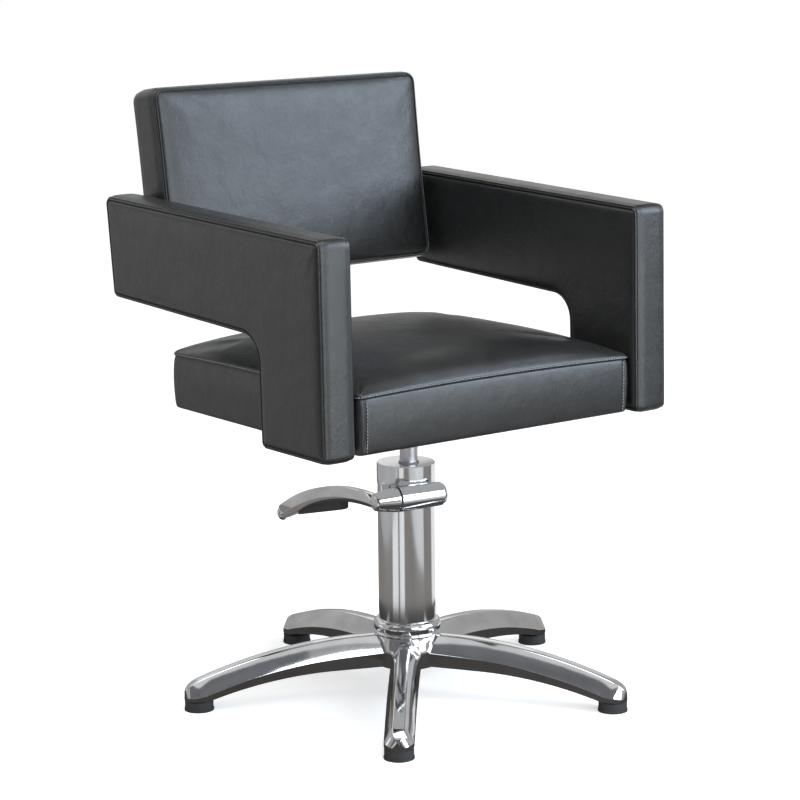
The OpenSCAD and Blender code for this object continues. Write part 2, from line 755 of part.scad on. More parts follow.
module plunger() {
    top_z = axle_z - crank_nose_r - crank_nose_gap;
    color("silver") at_pump() translate([0, crank_arm - axle_off, 0]) {
        translate([0, 0, top_z - plunger_len]) cylinder(r = plunger_r, h = plunger_len);
        translate([0, 0, top_z - plunger_head_h]) cylinder(r = plunger_head_r, h = plunger_head_h);
    }
}

// Places of the four bolts that hold the plate, round the rod
module at_plate_bolts() {
    for (x = [-1, 1], y = [-1, 1]) at_rod()
        rotate([0, 0, -pump_turn]) translate([x * plate_bolt_gap / 2, y * plate_bolt_gap / 2, 0]) children();
}

module seat_plate() {
    low_z = board_low_z - plate_t;
    half = plate_w / 2 - plate_corner_r;
    color("dimgray") difference() {
        union() {
            at_rod() rotate([0, 0, -pump_turn]) translate([0, 0, low_z]) {
                for (x = [-half, half], y = [-half, half])
                    translate([x, y, 0]) cylinder(r = plate_corner_r, h = plate_t);
                translate([-half, -plate_w / 2, 0]) cube([2 * half, plate_w, plate_t]);
                translate([-plate_w / 2, -half, 0]) cube([plate_w, 2 * half, plate_t]);
            }
            at_rod() translate([0, 0, low_z - socket_below])
                cylinder(r = socket_r, h = socket_below + plate_t + socket_top);
        }
        at_rod() translate([0, 0, low_z - socket_below - overrun])
            cylinder(r = rod_r, h = rod_in_socket + overrun);
        at_plate_bolts() translate([0, 0, low_z - overrun])
            cylinder(r = m8_r + thread_gap, h = plate_t + 2 * overrun);
    }
}

module plate_bolts() {
    color("gray") at_plate_bolts() translate([0, 0, board_low_z - plate_t - m8_head_h]) {
        cylinder(r = m8_head_r, h = m8_head_h);
        cylinder(r = m8_r, h = m8_head_h + plate_t + board_t - tee_flange_h);
    }
}

module tee_nuts() {
    color("gray") at_plate_bolts() translate([0, 0, board_top_z - tee_h]) difference() {
        union() {
            cylinder(r = tee_r, h = tee_h);
            translate([0, 0, tee_h - tee_flange_h]) cylinder(r = tee_flange_r, h = tee_flange_h);
        }
        translate([0, 0, -overrun]) cylinder(r = m8_r, h = tee_h + 2 * overrun);
    }
}

// Places of the bolts that hold an arm, along the side rail of the frame
arm_bolt_first_y = seat_shift - frame_d / 2 + rail_w + 2 * m8_head_r;
arm_bolt_last_y = arm_front_y + leg_d - 2 * spacer_r;
arm_bolt_z = seat_z + frame_low + rail_h / 2;
function arm_bolt_y(i) =
    arm_bolt_first_y + (arm_bolt_last_y - arm_bolt_first_y) * i / max(arm_bolts - 1, 1);
module at_arm_bolts(side) {
    for (i = [0 : arm_bolts - 1]) translate([side * (frame_w / 2 - rail_w), arm_bolt_y(i), arm_bolt_z])
        rotate([0, 90 * side, 0]) children();
}

module seat_frame() {
    color("burlywood") difference() {
        translate([-frame_w / 2, seat_shift - frame_d / 2, seat_z + frame_low])
            cube([frame_w, frame_d, rail_h]);
        translate([rail_w - frame_w / 2, seat_shift - frame_d / 2 + rail_w, seat_z])
            cube([frame_w - 2 * rail_w, frame_d - 2 * rail_w, rail_h * 2]);
        for (side = [-1, 1]) at_arm_bolts(side) translate([0, 0, -overrun])
            cylinder(r = m8_r + thread_gap, h = rail_w + 2 * overrun);
    }
}

module seat_board() {
    color("tan") difference() {
        translate([-frame_w / 2, seat_shift - frame_d / 2, board_low_z]) cube([frame_w, frame_d, board_t]);
        at_rod() translate([0, 0, board_low_z - overrun])
            cylinder(r = socket_r + socket_room, h = board_t + 2 * overrun);
        at_plate_bolts() {
            translate([0, 0, board_low_z - overrun]) cylinder(r = m8_r + thread_gap, h = board_t);
            translate([0, 0, board_top_z - tee_h]) cylinder(r = tee_r, h = tee_h + overrun);
            translate([0, 0, board_top_z - tee_flange_h]) cylinder(r = tee_flange_r, h = board_t);
        }
    }
}

// Foam on the board, crowned like the cover that it fills
module seat_foam_form() {
    translate([0, seat_shift, board_top_z])
        cushion(frame_w, frame_d, foam_h, seat_edge_r, foam_crown, 0, seat_edge_crown, seat_pull, 0);
}

module seat_foam() {
    color("khaki") difference() {
        seat_foam_form();
        at_rod() translate([0, 0, board_low_z])
            cylinder(r = socket_r + socket_room, h = board_t + socket_top);
    }
}

module seat_cover() {
    color([0.1, 0.1, 0.11]) difference() {
        translate([0, seat_shift, seat_z])
            cushion(seat_w, seat_d, seat_h, seat_edge_r, seat_crown, 0, seat_edge_crown, seat_pull,
                seat_bulge);
        translate([-frame_w / 2, seat_shift - frame_d / 2, seat_z + frame_low])
            cube([frame_w, frame_d, rail_h + board_t]);
        translate([cover_return - frame_w / 2, seat_shift - frame_d / 2 + cover_return, seat_z - overrun])
            cube([frame_w - 2 * cover_return, frame_d - 2 * cover_return, rail_h]);
        seat_foam_form();
        for (side = [-1, 1]) at_seat_spacers(side) cylinder(r = spacer_r, h = frame_side + seat_gap);
    }
}

module underlining() {
    color([0.15, 0.15, 0.15]) difference() {
        translate([cover_return - frame_w / 2, seat_shift - frame_d / 2 + cover_return,
            seat_z + frame_low - lining_t])
            cube([frame_w - 2 * cover_return, frame_d - 2 * cover_return, lining_t]);
        at_rod() translate([0, 0, seat_z]) cylinder(r = lining_hole_r, h = rail_h);
    }
}

// Corner of an outline drawn in by d: where its two shifted sides meet
function side_normal(a, b) = let (e = (b - a) / norm(b - a)) [-e[1], e[0]];
function inset_corner(a, p, b, d) =
    let (n = side_normal(a, p), m = side_normal(p, b)) p + (n + m) * d / (1 + n * m);

// Arc that rounds corner p between its neighbours a and b
function round_corner(a, p, b, r) =
    let (u = (a - p) / norm(a - p), v = (b - p) / norm(b - p), half = acos(u * v) / 2,
        c = p + (u + v) / norm(u + v) * r / sin(half),
        s = p + u * r / tan(half) - c, e = p + v * r / tan(half) - c)
    [for (i = [0 : corner_steps]) let (q = s * (1 - i / corner_steps) + e * i / corner_steps)
        c + q * r / norm(q)];

// Corners of the arm in (y, z), anticlockwise from the front of the foot, and their radii
arm_corners = [[arm_front_y, seat_z], [arm_front_y + leg_d, seat_z],
    [arm_front_y + leg_d + arm_leg_rake, seat_z + arm_front_h - bar_h],
    [arm_top_rear_y - arm_rake, seat_z + arm_rear_h - bar_h],
    [arm_top_rear_y, seat_z + arm_rear_h], [arm_front_y + arm_front_rake, seat_z + arm_front_h]];
arm_radii = [arm_foot_r, arm_foot_r, -arm_notch_r, arm_foot_r, arm_corner_r, arm_corner_r];
arm_middle = [arm_front_y + leg_d / 2, seat_z + arm_front_h - bar_h / 2];

// Outline of the arm drawn in by d; a hollow corner, marked by a minus, grows as it is drawn in
function arm_outline(d) =
    let (n = len(arm_corners),
        c = [for (i = [0 : n - 1]) inset_corner(arm_corners[(i + n - 1) % n], arm_corners[i],
            arm_corners[(i + 1) % n], d)])
    [for (i = [0 : n - 1]) each round_corner(c[(i + n - 1) % n], c[i], c[(i + 1) % n],
        arm_radii[i] < 0 ? d - arm_radii[i] : max(arm_radii[i] - d, arm_radii[i] / 4))];

// One ring of the arm at depth x from its inner face
function arm_ring(x, d) = [for (p = arm_outline(d)) [x, p[0], p[1]]];

// Arm with round edges and slightly crowned faces
module arm_form() {
    face = [for (i = [0 : len(arm_face_shares) - 1])
        [arm_crown * i / len(arm_face_shares), arm_edge_r * arm_face_shares[i]]];
    edge = [for (i = [0 : 3]) [arm_crown + (arm_edge_r - arm_crown) * edge_depth_shares[i],
        arm_edge_r * edge_inset_shares[i]]];
    near = concat(face, edge);
    n = len(near);
    rings = concat([for (r = near) arm_ring(r[0], r[1])],
        [for (k = [n - 1 : -1 : 0]) arm_ring(arm_t - near[k][0], near[k][1])]);
    loft(rings, [0, arm_middle[0], arm_middle[1]], [arm_t, arm_middle[0], arm_middle[1]]);
}

// Flat panel with the arm's outline drawn in by d, from depth x over thickness t
module arm_panel(x, t, d) {
    translate([x, 0, 0]) rotate([90, 0, 90]) linear_extrude(height = t) polygon(arm_outline(d));
}

module at_arm(side) {
    if (side > 0) translate([arm_inner_x, 0, 0]) children();
    else mirror([1, 0, 0]) translate([arm_inner_x, 0, 0]) children();
}

module arm_core(side) {
    color("burlywood") difference() {
        at_arm(side) arm_panel(arm_skin, arm_core_t, arm_core_inset);
        arm_bolt_holes(side, 0);
        back_bolt_holes(side, 0);
    }
}

module arm_foam(side) {
    color("khaki") difference() {
        at_arm(side) {
            arm_panel(arm_skin - arm_foam_t, arm_foam_t, arm_core_inset);
            arm_panel(arm_skin + arm_core_t, arm_foam_t, arm_core_inset);
        }
        arm_bolt_holes(side, thread_gap);
        back_bolt_holes(side, thread_gap);
    }
}

module arm_cover(side) {
    color([0.1, 0.1, 0.11]) difference() {
        at_arm(side) difference() {
            arm_form();
            arm_panel(arm_skin - arm_foam_t, arm_core_t + 2 * arm_foam_t, arm_core_inset);
        }
        arm_bolt_holes(side, thread_gap);
        back_bolt_holes(side, thread_gap);
    }
}

module arm_bolt_holes(side, gap) {
    at_arm_bolts(side) cylinder(r = m8_r + gap, h = arm_bolt_reach());
}

// Length of an arm bolt from the inside of the rail into the core
function arm_bolt_reach() = rail_w + frame_side + seat_gap + arm_skin + arm_bolt_in;

module arm_bolts_of(side) {
    color("gray") at_arm_bolts(side) {
        translate([0, 0, -m8_head_h]) cylinder(r = m8_head_r, h = m8_head_h);
        cylinder(r = m8_r, h = arm_bolt_reach());
    }
}

// The spacers pass through the cover and stand on the side rail of the frame
module at_seat_spacers(side) {
    for (i = [0 : arm_bolts - 1]) translate([side * frame_w / 2, arm_bolt_y(i), arm_bolt_z])
        rotate([0, 90 * side, 0]) children();
}

module seat_spacers(side) {
    color("black") at_seat_spacers(side) washer(spacer_r, m8_r + thread_gap, frame_side + seat_gap);
}

// Frame of the backrest: its lower front edge is the origin, +Z runs up its slope
module at_back() {
    translate([0, back_low_y, back_low_z]) rotate([-back_lean, 0, 0]) children();
}

// Places of the bolts on a side of the backrest, pointing outwards
module at_back_bolts(side) {
    for (s = back_bolt_shares) at_back()
        translate([side * (back_w / 2 - back_bolt_in), back_core_set + back_core_t / 3, back_h * s])
            rotate([0, 90 * side, 0]) children();
}

function back_bolt_reach() = back_bolt_in + back_side_gap + arm_skin + arm_bolt_in;

module back_bolt_holes(side, gap) {
    at_back_bolts(side) cylinder(r = m8_r + gap, h = back_bolt_reach());
}

// Cushion laid along the slope, its crowned front towards the sitter
module back_cushion(w, h, t, crown, rear_crown, pull) {
    at_back() translate([0, t, h / 2]) rotate([90, 0, 0])
        cushion(w, h, t, back_edge_r, crown, rear_crown, 0, pull, 0);
}

module back_core() {
    w = back_w - 2 * back_core_in;
    h = back_h - 2 * back_core_in;
    color("burlywood") difference() {
        at_back() translate([-w / 2, back_core_set, back_core_in]) difference() {
            cube([w, back_core_t, h]);
            translate([back_rail_w, -overrun, back_rail_w])
                cube([w - 2 * back_rail_w, back_core_t + 2 * overrun, h - 2 * back_rail_w]);
        }
        for (side = [-1, 1]) back_bolt_holes(side, 0);
    }
}

module back_foam() {
    w = back_w - 2 * back_core_in;
    h = back_h - 2 * back_core_in;
    color("khaki") at_back() translate([-w / 2, back_core_set - back_foam_t, back_core_in])
        cube([w, back_foam_t, h]);
}

module back_cover() {
    w = back_w - 2 * back_core_in;
    h = back_h - 2 * back_core_in;
    color([0.1, 0.1, 0.11]) difference() {
        back_cushion(back_w, back_h, back_t, back_crown, back_rear_crown, back_pull);
        at_back() translate([-w / 2, back_core_set - back_foam_t, back_core_in])
            cube([w, back_foam_t + back_core_t, h]);
        for (side = [-1, 1]) at_back_spacers(side) cylinder(r = spacer_r, h = back_core_in + back_side_gap);
    }
}

module back_bolts() {
    color("gray") for (side = [-1, 1]) at_back_bolts(side) cylinder(r = m8_r, h = back_bolt_reach());
}

// The spacers pass through the cover and stand on the sides of the frame
module at_back_spacers(side) {
    at_back_bolts(side) translate([0, 0, back_bolt_in - back_core_in]) children();
}

module back_spacers() {
    color("black") for (side = [-1, 1]) at_back_spacers(side)
        washer(spacer_r, m8_r + thread_gap, back_core_in + back_side_gap);
}

star_base();
glide(0);  // glide_1
glide(1);  // glide_2
glide(2);  // glide_3
glide(3);  // glide_4
glide(4);  // glide_5
glide_studs();
base_ring();
pump_foot();
foot_washer();
foot_nut();
pump_casing();
cylinder_tube();
pump_body();
pump_cap();
guide_bush();
rod_seal();
rod_wiper();
lever_seal();
lever_spring();
plunger_spring();
piston();
piston_seal();
rod_clip();
piston_rod();
pump_lever();
lever_pad();
lever_shaft();
crank();
lever_screw();
plunger();
seat_plate();
plate_bolts();
tee_nuts();
seat_frame();
seat_board();
seat_foam();
seat_cover();
underlining();
arm_core(-1);  // left_arm_core
arm_foam(-1);  // left_arm_foam
arm_cover(-1);  // left_arm_cover
arm_bolts_of(-1);  // left_arm_bolts
seat_spacers(-1);  // left_spacers
arm_core(1);  // right_arm_core
arm_foam(1);  // right_arm_foam
arm_cover(1);  // right_arm_cover
arm_bolts_of(1);  // right_arm_bolts
seat_spacers(1);  // right_spacers
back_core();
back_foam();
back_cover();
back_bolts();
back_spacers();
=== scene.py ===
# %% [markdown]
# # A hairdressing chair: boxed leatherette cushions on a hydraulic pump and a polished star base
# The chair was built as solids first. This lesson dresses those solids: the upholstery is made
# again as sewn and padded covers, the castings get their soft polished edges, and each surface
# gets the material that the real piece is made of. Everything is in metres, in the chair's own
# frame: the origin is on the floor under the column, +Z is up and the chair faces -Y.

import json
import math

import bmesh
import bpy
import numpy as np
from mathutils import Matrix, Vector, noise
from mathutils.geometry import delaunay_2d_cdt


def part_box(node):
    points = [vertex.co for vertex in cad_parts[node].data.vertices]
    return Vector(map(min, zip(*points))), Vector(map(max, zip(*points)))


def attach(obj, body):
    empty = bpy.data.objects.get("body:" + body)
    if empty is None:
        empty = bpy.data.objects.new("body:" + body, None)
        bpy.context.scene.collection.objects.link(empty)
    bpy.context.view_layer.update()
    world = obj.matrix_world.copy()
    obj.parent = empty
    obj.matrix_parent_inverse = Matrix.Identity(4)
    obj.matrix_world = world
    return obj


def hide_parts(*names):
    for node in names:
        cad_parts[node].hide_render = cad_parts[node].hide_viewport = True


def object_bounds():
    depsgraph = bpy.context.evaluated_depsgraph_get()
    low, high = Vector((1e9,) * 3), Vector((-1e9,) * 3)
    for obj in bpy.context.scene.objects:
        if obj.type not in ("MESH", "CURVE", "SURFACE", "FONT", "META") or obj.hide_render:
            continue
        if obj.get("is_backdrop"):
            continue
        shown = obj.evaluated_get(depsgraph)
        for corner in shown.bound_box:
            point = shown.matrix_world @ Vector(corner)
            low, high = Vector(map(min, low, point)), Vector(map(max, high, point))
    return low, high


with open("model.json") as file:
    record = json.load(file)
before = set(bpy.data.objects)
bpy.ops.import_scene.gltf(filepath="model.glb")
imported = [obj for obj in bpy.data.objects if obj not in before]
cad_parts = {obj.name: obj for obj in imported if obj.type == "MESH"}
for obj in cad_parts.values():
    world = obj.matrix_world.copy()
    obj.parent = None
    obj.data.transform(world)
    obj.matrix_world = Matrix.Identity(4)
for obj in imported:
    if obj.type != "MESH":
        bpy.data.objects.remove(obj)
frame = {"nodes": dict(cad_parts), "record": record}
cad_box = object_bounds()
mm = 0.001

# %% [markdown]
# ## The view of the photograph
# The photograph was taken from the front left, a little above the seat, with a long lens. The
# camera's place was worked out from the feet, the column and the corners of the arms. The
# principal point lies a few pixels off the middle of the frame, which the lens shift takes up.

# %% Camera
view_azimuth = -37.02
view_elevation = 11.41
view_roll = -0.575
view_distance = 3.8337
view_target = Vector((0, 0, 0.4044))
focal_pixels = 2733.56
middle_pixels = (405.24, 412.73)
frame_pixels = 800
sensor_width = 36.0

a, e, r = (math.radians(v) for v in (view_azimuth, view_elevation, view_roll))
to_camera = Vector((math.sin(a) * math.cos(e), -math.cos(a) * math.cos(e), math.sin(e)))
level_right = (-to_camera).cross(Vector((0, 0, 1))).normalized()
level_up = level_right.cross(-to_camera)
camera_right = level_right * math.cos(r) + level_up * math.sin(r)
camera_up = level_up * math.cos(r) - level_right * math.sin(r)
camera_data = bpy.data.cameras.new("photo_view")
camera_data.sensor_width = sensor_width
camera_data.lens = focal_pixels / frame_pixels * sensor_width
camera_data.shift_x = -(middle_pixels[0] - frame_pixels / 2) / frame_pixels
camera_data.shift_y = (middle_pixels[1] - frame_pixels / 2) / frame_pixels
camera = bpy.data.objects.new("photo_view", camera_data)
bpy.context.scene.collection.objects.link(camera)
turn = Matrix((camera_right, camera_up, to_camera)).transposed().to_4x4()
camera.matrix_world = Matrix.Translation(view_target + to_camera * view_distance) @ turn
bpy.context.scene.camera = camera
print("camera:", [round(v, 3) for v in camera.location], "lens", round(camera_data.lens, 2), "mm")

# %% [markdown]
# ## Colours and nodes
# Colours are written as sRGB hex values, as a colour chart gives them, and one function turns
# them to the linear numbers that shaders use. A second function adds a node to a material, sets
# its values and joins its links, so that each material below reads as a short list.

# %% Helpers for materials
def linear(code):
    """Linear colour of an sRGB hex value."""
    parts = [int(code[i:i + 2], 16) / 255 for i in (1, 3, 5)]
    return [v / 12.92 if v <= 0.04045 else ((v + 0.055) / 1.055) ** 2.4 for v in parts] + [1.0]


def add(tree, kind, values=None, stops=(), **settings):
    """Adds a node; values go to its sockets, as numbers or links; stops are colours by place."""
    new = tree.nodes.new(kind)
    for key, value in settings.items():
        setattr(new, key, value)
    for k, (place, code) in enumerate(stops):
        element = new.color_ramp.elements[k]
        element.position, element.color = place, linear(code)
    for key, value in (values or {}).items():
        if isinstance(value, bpy.types.NodeSocket):
            tree.links.new(value, new.inputs[key])
        else:
            new.inputs[key].default_value = value
    return new


def new_material(name):
    """Material with an empty node tree and its output."""
    material = bpy.data.materials.new(name)
    material.use_nodes = True
    tree = material.node_tree
    tree.nodes.clear()
    return material, tree, add(tree, "ShaderNodeOutputMaterial")


def dress(node, material):
    """Puts a material on a carried-over solid."""
    data = frame["nodes"][node].data
    data.materials.clear()
    data.materials.append(material)


print("middle grey in linear light:", linear("#808080"))

# %% [markdown]
# ## Leatherette
# The covers are black artificial leather: a knitted backing with a PVC skin, embossed with a
# fine pebble grain. The emboss is about 1 mm across, which is a little less than a pixel here,
# so the cells are drawn 1.6 mm wide. Two larger noises stand for the mottled skin and for its
# uneven pull over the foam. The skin is nearly black and its satin sheen is what the eye sees, so
# the roughness varies a little from place to place and a thin clear lacquer lies over it.

# %% Leatherette material
grain_width, grain_depth = 1.6 * mm, 0.3 * mm
mottle_width, mottle_depth = 6 * mm, 0.6 * mm
pull_width, pull_depth = 30 * mm, 2.2 * mm
leatherette, tree, out = new_material("black_leatherette")
place = add(tree, "ShaderNodeTexCoord").outputs["Object"]
cells = add(tree, "ShaderNodeTexVoronoi", {"Vector": place, "Scale": 1 / grain_width,
    "Randomness": 0.9}, feature="SMOOTH_F1").outputs["Distance"]
pull = add(tree, "ShaderNodeTexNoise", {"Vector": place, "Scale": 1 / pull_width, "Detail": 3.0,
    "Roughness": 0.55}).outputs["Fac"]
mottle = add(tree, "ShaderNodeTexNoise", {"Vector": place, "Scale": 1 / mottle_width, "Detail": 3.0,
    "Roughness": 0.6}).outputs["Fac"]
shade = add(tree, "ShaderNodeMix", {"Factor": 0.5, "A": pull, "B": mottle},
    data_type="FLOAT").outputs["Result"]
skin = add(tree, "ShaderNodeValToRGB", {"Fac": shade},
    stops=[(0.3, "#0f1010"), (0.7, "#171818")]).outputs["Color"]
sheen = add(tree, "ShaderNodeMapRange", {"Value": shade, "From Min": 0.35, "From Max": 0.65,
    "To Min": 0.38, "To Max": 0.56}).outputs["Result"]
pebbles = add(tree, "ShaderNodeBump", {"Strength": 0.4, "Distance": grain_depth,
    "Height": cells}).outputs["Normal"]
specks = add(tree, "ShaderNodeBump", {"Strength": 0.4, "Distance": mottle_depth, "Height": mottle,
    "Normal": pebbles}).outputs["Normal"]
waves = add(tree, "ShaderNodeBump", {"Strength": 0.4, "Distance": pull_depth, "Height": pull,
    "Normal": specks}).outputs["Normal"]
satin = add(tree, "ShaderNodeBsdfPrincipled", {"Base Color": skin, "Roughness": sheen, "IOR": 1.52,
    "Coat Weight": 0.7, "Coat Roughness": 0.36, "Normal": waves, "Coat Normal": waves})
tree.links.new(satin.outputs["BSDF"], out.inputs["Surface"])
print("leatherette: grain", grain_width / mm, "mm")

# %% [markdown]
# ## Sewing thread
# The top stitching is bonded polyester thread, grey and a little glossy, laid in short stitches.
# Slanting stripes give it its ply. They are drawn 1.2 mm wide, about three times as coarse as on
# the real thread, because finer ones would not show.

# %% Thread material
ply_width = 1.2 * mm
thread, tree, out = new_material("grey_sewing_thread")
place = add(tree, "ShaderNodeTexCoord").outputs["Object"]
ply = add(tree, "ShaderNodeTexWave", {"Vector": place, "Scale": 1 / ply_width, "Distortion": 1.0},
    bands_direction="DIAGONAL").outputs["Fac"]
twist = add(tree, "ShaderNodeBump", {"Strength": 0.4, "Distance": 0.1 * mm, "Height": ply})
dye = add(tree, "ShaderNodeValToRGB", {"Fac": ply}, stops=[(0.2, "#7d828a"), (0.8, "#a3a8b0")])
fibre = add(tree, "ShaderNodeBsdfPrincipled", {"Base Color": dye.outputs["Color"],
    "Roughness": 0.5, "Normal": twist.outputs["Normal"]})
tree.links.new(fibre.outputs["BSDF"], out.inputs["Surface"])
print("thread: ply", ply_width / mm, "mm")


# %% [markdown]
# ## Metals
# The column, the cap, the lever and the trim ring are steel with a bright chrome plate: a mirror
# with a faint haze and a few fine polishing marks. The star is cast aluminium, ground and
# polished on a wheel, so its mirror is a little softer and its surface is never quite flat.
# The hidden pieces are ground, turned or zinc plated steel and a bronze bush.

# %% Metal materials
haze_width = 40 * mm


def metal(name, light, dark, smooth, rough, mark_width, mark_depth, swell_width=60 * mm,
        swell_depth=0.0):
    """A metal whose roughness follows fine polishing marks, on a surface with a slow swell."""
    material, tree, out = new_material(name)
    place = add(tree, "ShaderNodeTexCoord").outputs["Object"]
    marks = add(tree, "ShaderNodeTexNoise", {"Vector": place, "Scale": 1 / mark_width,
        "Detail": 6.0, "Roughness": 0.7}).outputs["Fac"]
    haze = add(tree, "ShaderNodeTexNoise", {"Vector": place, "Scale": 1 / haze_width,
        "Detail": 3.0}).outputs["Fac"]
    swell = add(tree, "ShaderNodeTexNoise", {"Vector": place, "Scale": 1 / swell_width,
        "Detail": 1.0}).outputs["Fac"]
    fine = add(tree, "ShaderNodeBump", {"Strength": 0.2, "Distance": mark_depth, "Height": marks})
    slow = add(tree, "ShaderNodeBump", {"Strength": 1.0, "Distance": swell_depth, "Height": swell,
        "Normal": fine.outputs["Normal"]})
    tint = add(tree, "ShaderNodeValToRGB", {"Fac": haze}, stops=[(0.3, dark), (0.7, light)])
    blur = add(tree, "ShaderNodeMapRange", {"Value": marks, "To Min": smooth, "To Max": rough})
    shader = add(tree, "ShaderNodeBsdfPrincipled", {"Base Color": tint.outputs["Color"],
        "Metallic": 1.0, "Roughness": blur.outputs["Result"], "Normal": slow.outputs["Normal"]})
    tree.links.new(shader.outputs["BSDF"], out.inputs["Surface"])
    return material


chrome = metal("bright_chrome_plate", "#e9e9ea", "#dfdfe1", 0.02, 0.07, 3 * mm, 0.01 * mm)
aluminium = metal("polished_cast_aluminium", "#e9e9ea", "#dcdcde", 0.04, 0.11, 2 * mm, 0.02 * mm,
    swell_width=35 * mm, swell_depth=0.12 * mm)
ground_steel = metal("ground_steel", "#b9bbbe", "#a3a6aa", 0.25, 0.4, 1 * mm, 0.03 * mm)
zinc_steel = metal("zinc_plated_steel", "#c3c6c8", "#a9adb0", 0.3, 0.45, 2 * mm, 0.03 * mm)
spring_steel = metal("oiled_spring_steel", "#7b7d80", "#5f6164", 0.3, 0.45, 1 * mm, 0.02 * mm)
bronze = metal("sintered_bronze", "#b98d52", "#9c7440", 0.35, 0.5, 0.8 * mm, 0.05 * mm)
metals = (chrome, aluminium, ground_steel, zinc_steel, spring_steel, bronze)
print("metals:", [m.name for m in metals])


# %% [markdown]
# ## Rubber, paint, timber, foam and cloth
# The glides and the pedal pad are moulded rubber, matt and faintly mottled. The seat plate has a
# black stove enamel with a fine orange peel. Below the covers there are beech rails, a plywood
# board and cut polyether foam, and the seat is closed below with a black woven cloth. The wiper
# round the piston rod is a pale polyurethane, which hardly shows between rod and cap.

# %% Other materials
def matt(name, light, dark, rough, width, depth, stretch=(1, 1, 1), detail=4.0):
    """A dull material with a noise in its colour and height, stretched along its grain."""
    material, tree, out = new_material(name)
    place = add(tree, "ShaderNodeTexCoord").outputs["Object"]
    along = add(tree, "ShaderNodeMapping", {"Vector": place, "Scale": stretch}).outputs["Vector"]
    grain = add(tree, "ShaderNodeTexNoise", {"Vector": along, "Scale": 1 / width, "Detail": detail,
        "Roughness": 0.6}).outputs["Fac"]
    bump = add(tree, "ShaderNodeBump", {"Strength": 0.4, "Distance": depth, "Height": grain})
    tint = add(tree, "ShaderNodeValToRGB", {"Fac": grain}, stops=[(0.35, dark), (0.65, light)])
    shader = add(tree, "ShaderNodeBsdfPrincipled", {"Base Color": tint.outputs["Color"],
        "Roughness": rough, "Normal": bump.outputs["Normal"]})
    tree.links.new(shader.outputs["BSDF"], out.inputs["Surface"])
    return material


rubber = matt("moulded_black_rubber", "#202123", "#17181a", 0.55, 2 * mm, 0.1 * mm)
seal_rubber = matt("nitrile_seal_rubber", "#1a1b1c", "#111213", 0.45, 1 * mm, 0.05 * mm)
stove_enamel = matt("black_stove_enamel", "#2a2b2d", "#1f2022", 0.4, 1.5 * mm, 0.08 * mm)
beech = matt("planed_beech", "#d3ab7c", "#b98c5c", 0.55, 4 * mm, 0.1 * mm,
    stretch=(0.1, 1, 1), detail=6.0)
plywood = matt("birch_plywood", "#dcc197", "#c2a274", 0.6, 3 * mm, 0.1 * mm,
    stretch=(0.15, 1, 4), detail=6.0)
foam = matt("polyether_foam", "#e3d79a", "#cfc07d", 0.9, 1.2 * mm, 0.4 * mm)
lining = matt("black_woven_cloth", "#1b1b1c", "#232324", 0.85, 1.5 * mm, 0.2 * mm, detail=8.0)
wiper_plastic = matt("grey_polyurethane_wiper", "#9c9ea0", "#909294", 0.35, 2 * mm, 0.02 * mm)
print("materials so far:", len(bpy.data.materials))

# %% Materials of the carried-over solids
finishes = {
    "star_aluminium": aluminium, "chrome_plate": chrome, "ground_steel": ground_steel,
    "zinc_steel": zinc_steel, "bronze": bronze, "seal_rubber": seal_rubber, "glide_rubber": rubber,
    "pedal_rubber": rubber, "spring_steel": spring_steel, "plate_paint": stove_enamel,
    "beech": beech, "plywood": plywood, "foam": foam, "leatherette": leatherette,
    "lining_cloth": lining}
for entry in frame["record"]["materials"]:
    for node in entry.get("nodes", []):
        dress(node, finishes[entry["slot"]])
# The record counts the wiper among the rubber pieces; the photograph shows a pale one.
dress("rod_wiper", wiper_plastic)
print("finishes:", len(finishes))


# %% [markdown]
# ## Outlines with round corners
# Every cushion and casting here starts from a flat outline whose corners are rounded. The same
# function gives the outline drawn in by any distance, always with the same number of points, so
# that neighbouring outlines can be joined with four-sided faces. A hollow corner is marked by a
# negative radius, and grows where the others shrink.

# %% Rounded outline
def unit(vector):
    """Vector of length 1 in the same direction."""
    return vector / np.linalg.norm(vector)


def drawn_radius(radius, inset):
    """Corner radius of an outline drawn in; deep inside a panel the corners open out again."""
    if radius < 0:
        return inset - radius
    return max(radius - inset, radius / 4, 1.2 * inset - 6 * mm)


def side_places(length, step, near):
    """Places along a side as shares: evenly spaced, with extra ones near both ends."""
    count = max(int(round(length / step)), 1)
    places = {round(i / count, 6) for i in range(1, count)}
    for distance in near:
        if 2.5 * distance < length:
            places |= {round(distance / length, 6), round(1 - distance / length, 6)}
    return sorted(places)


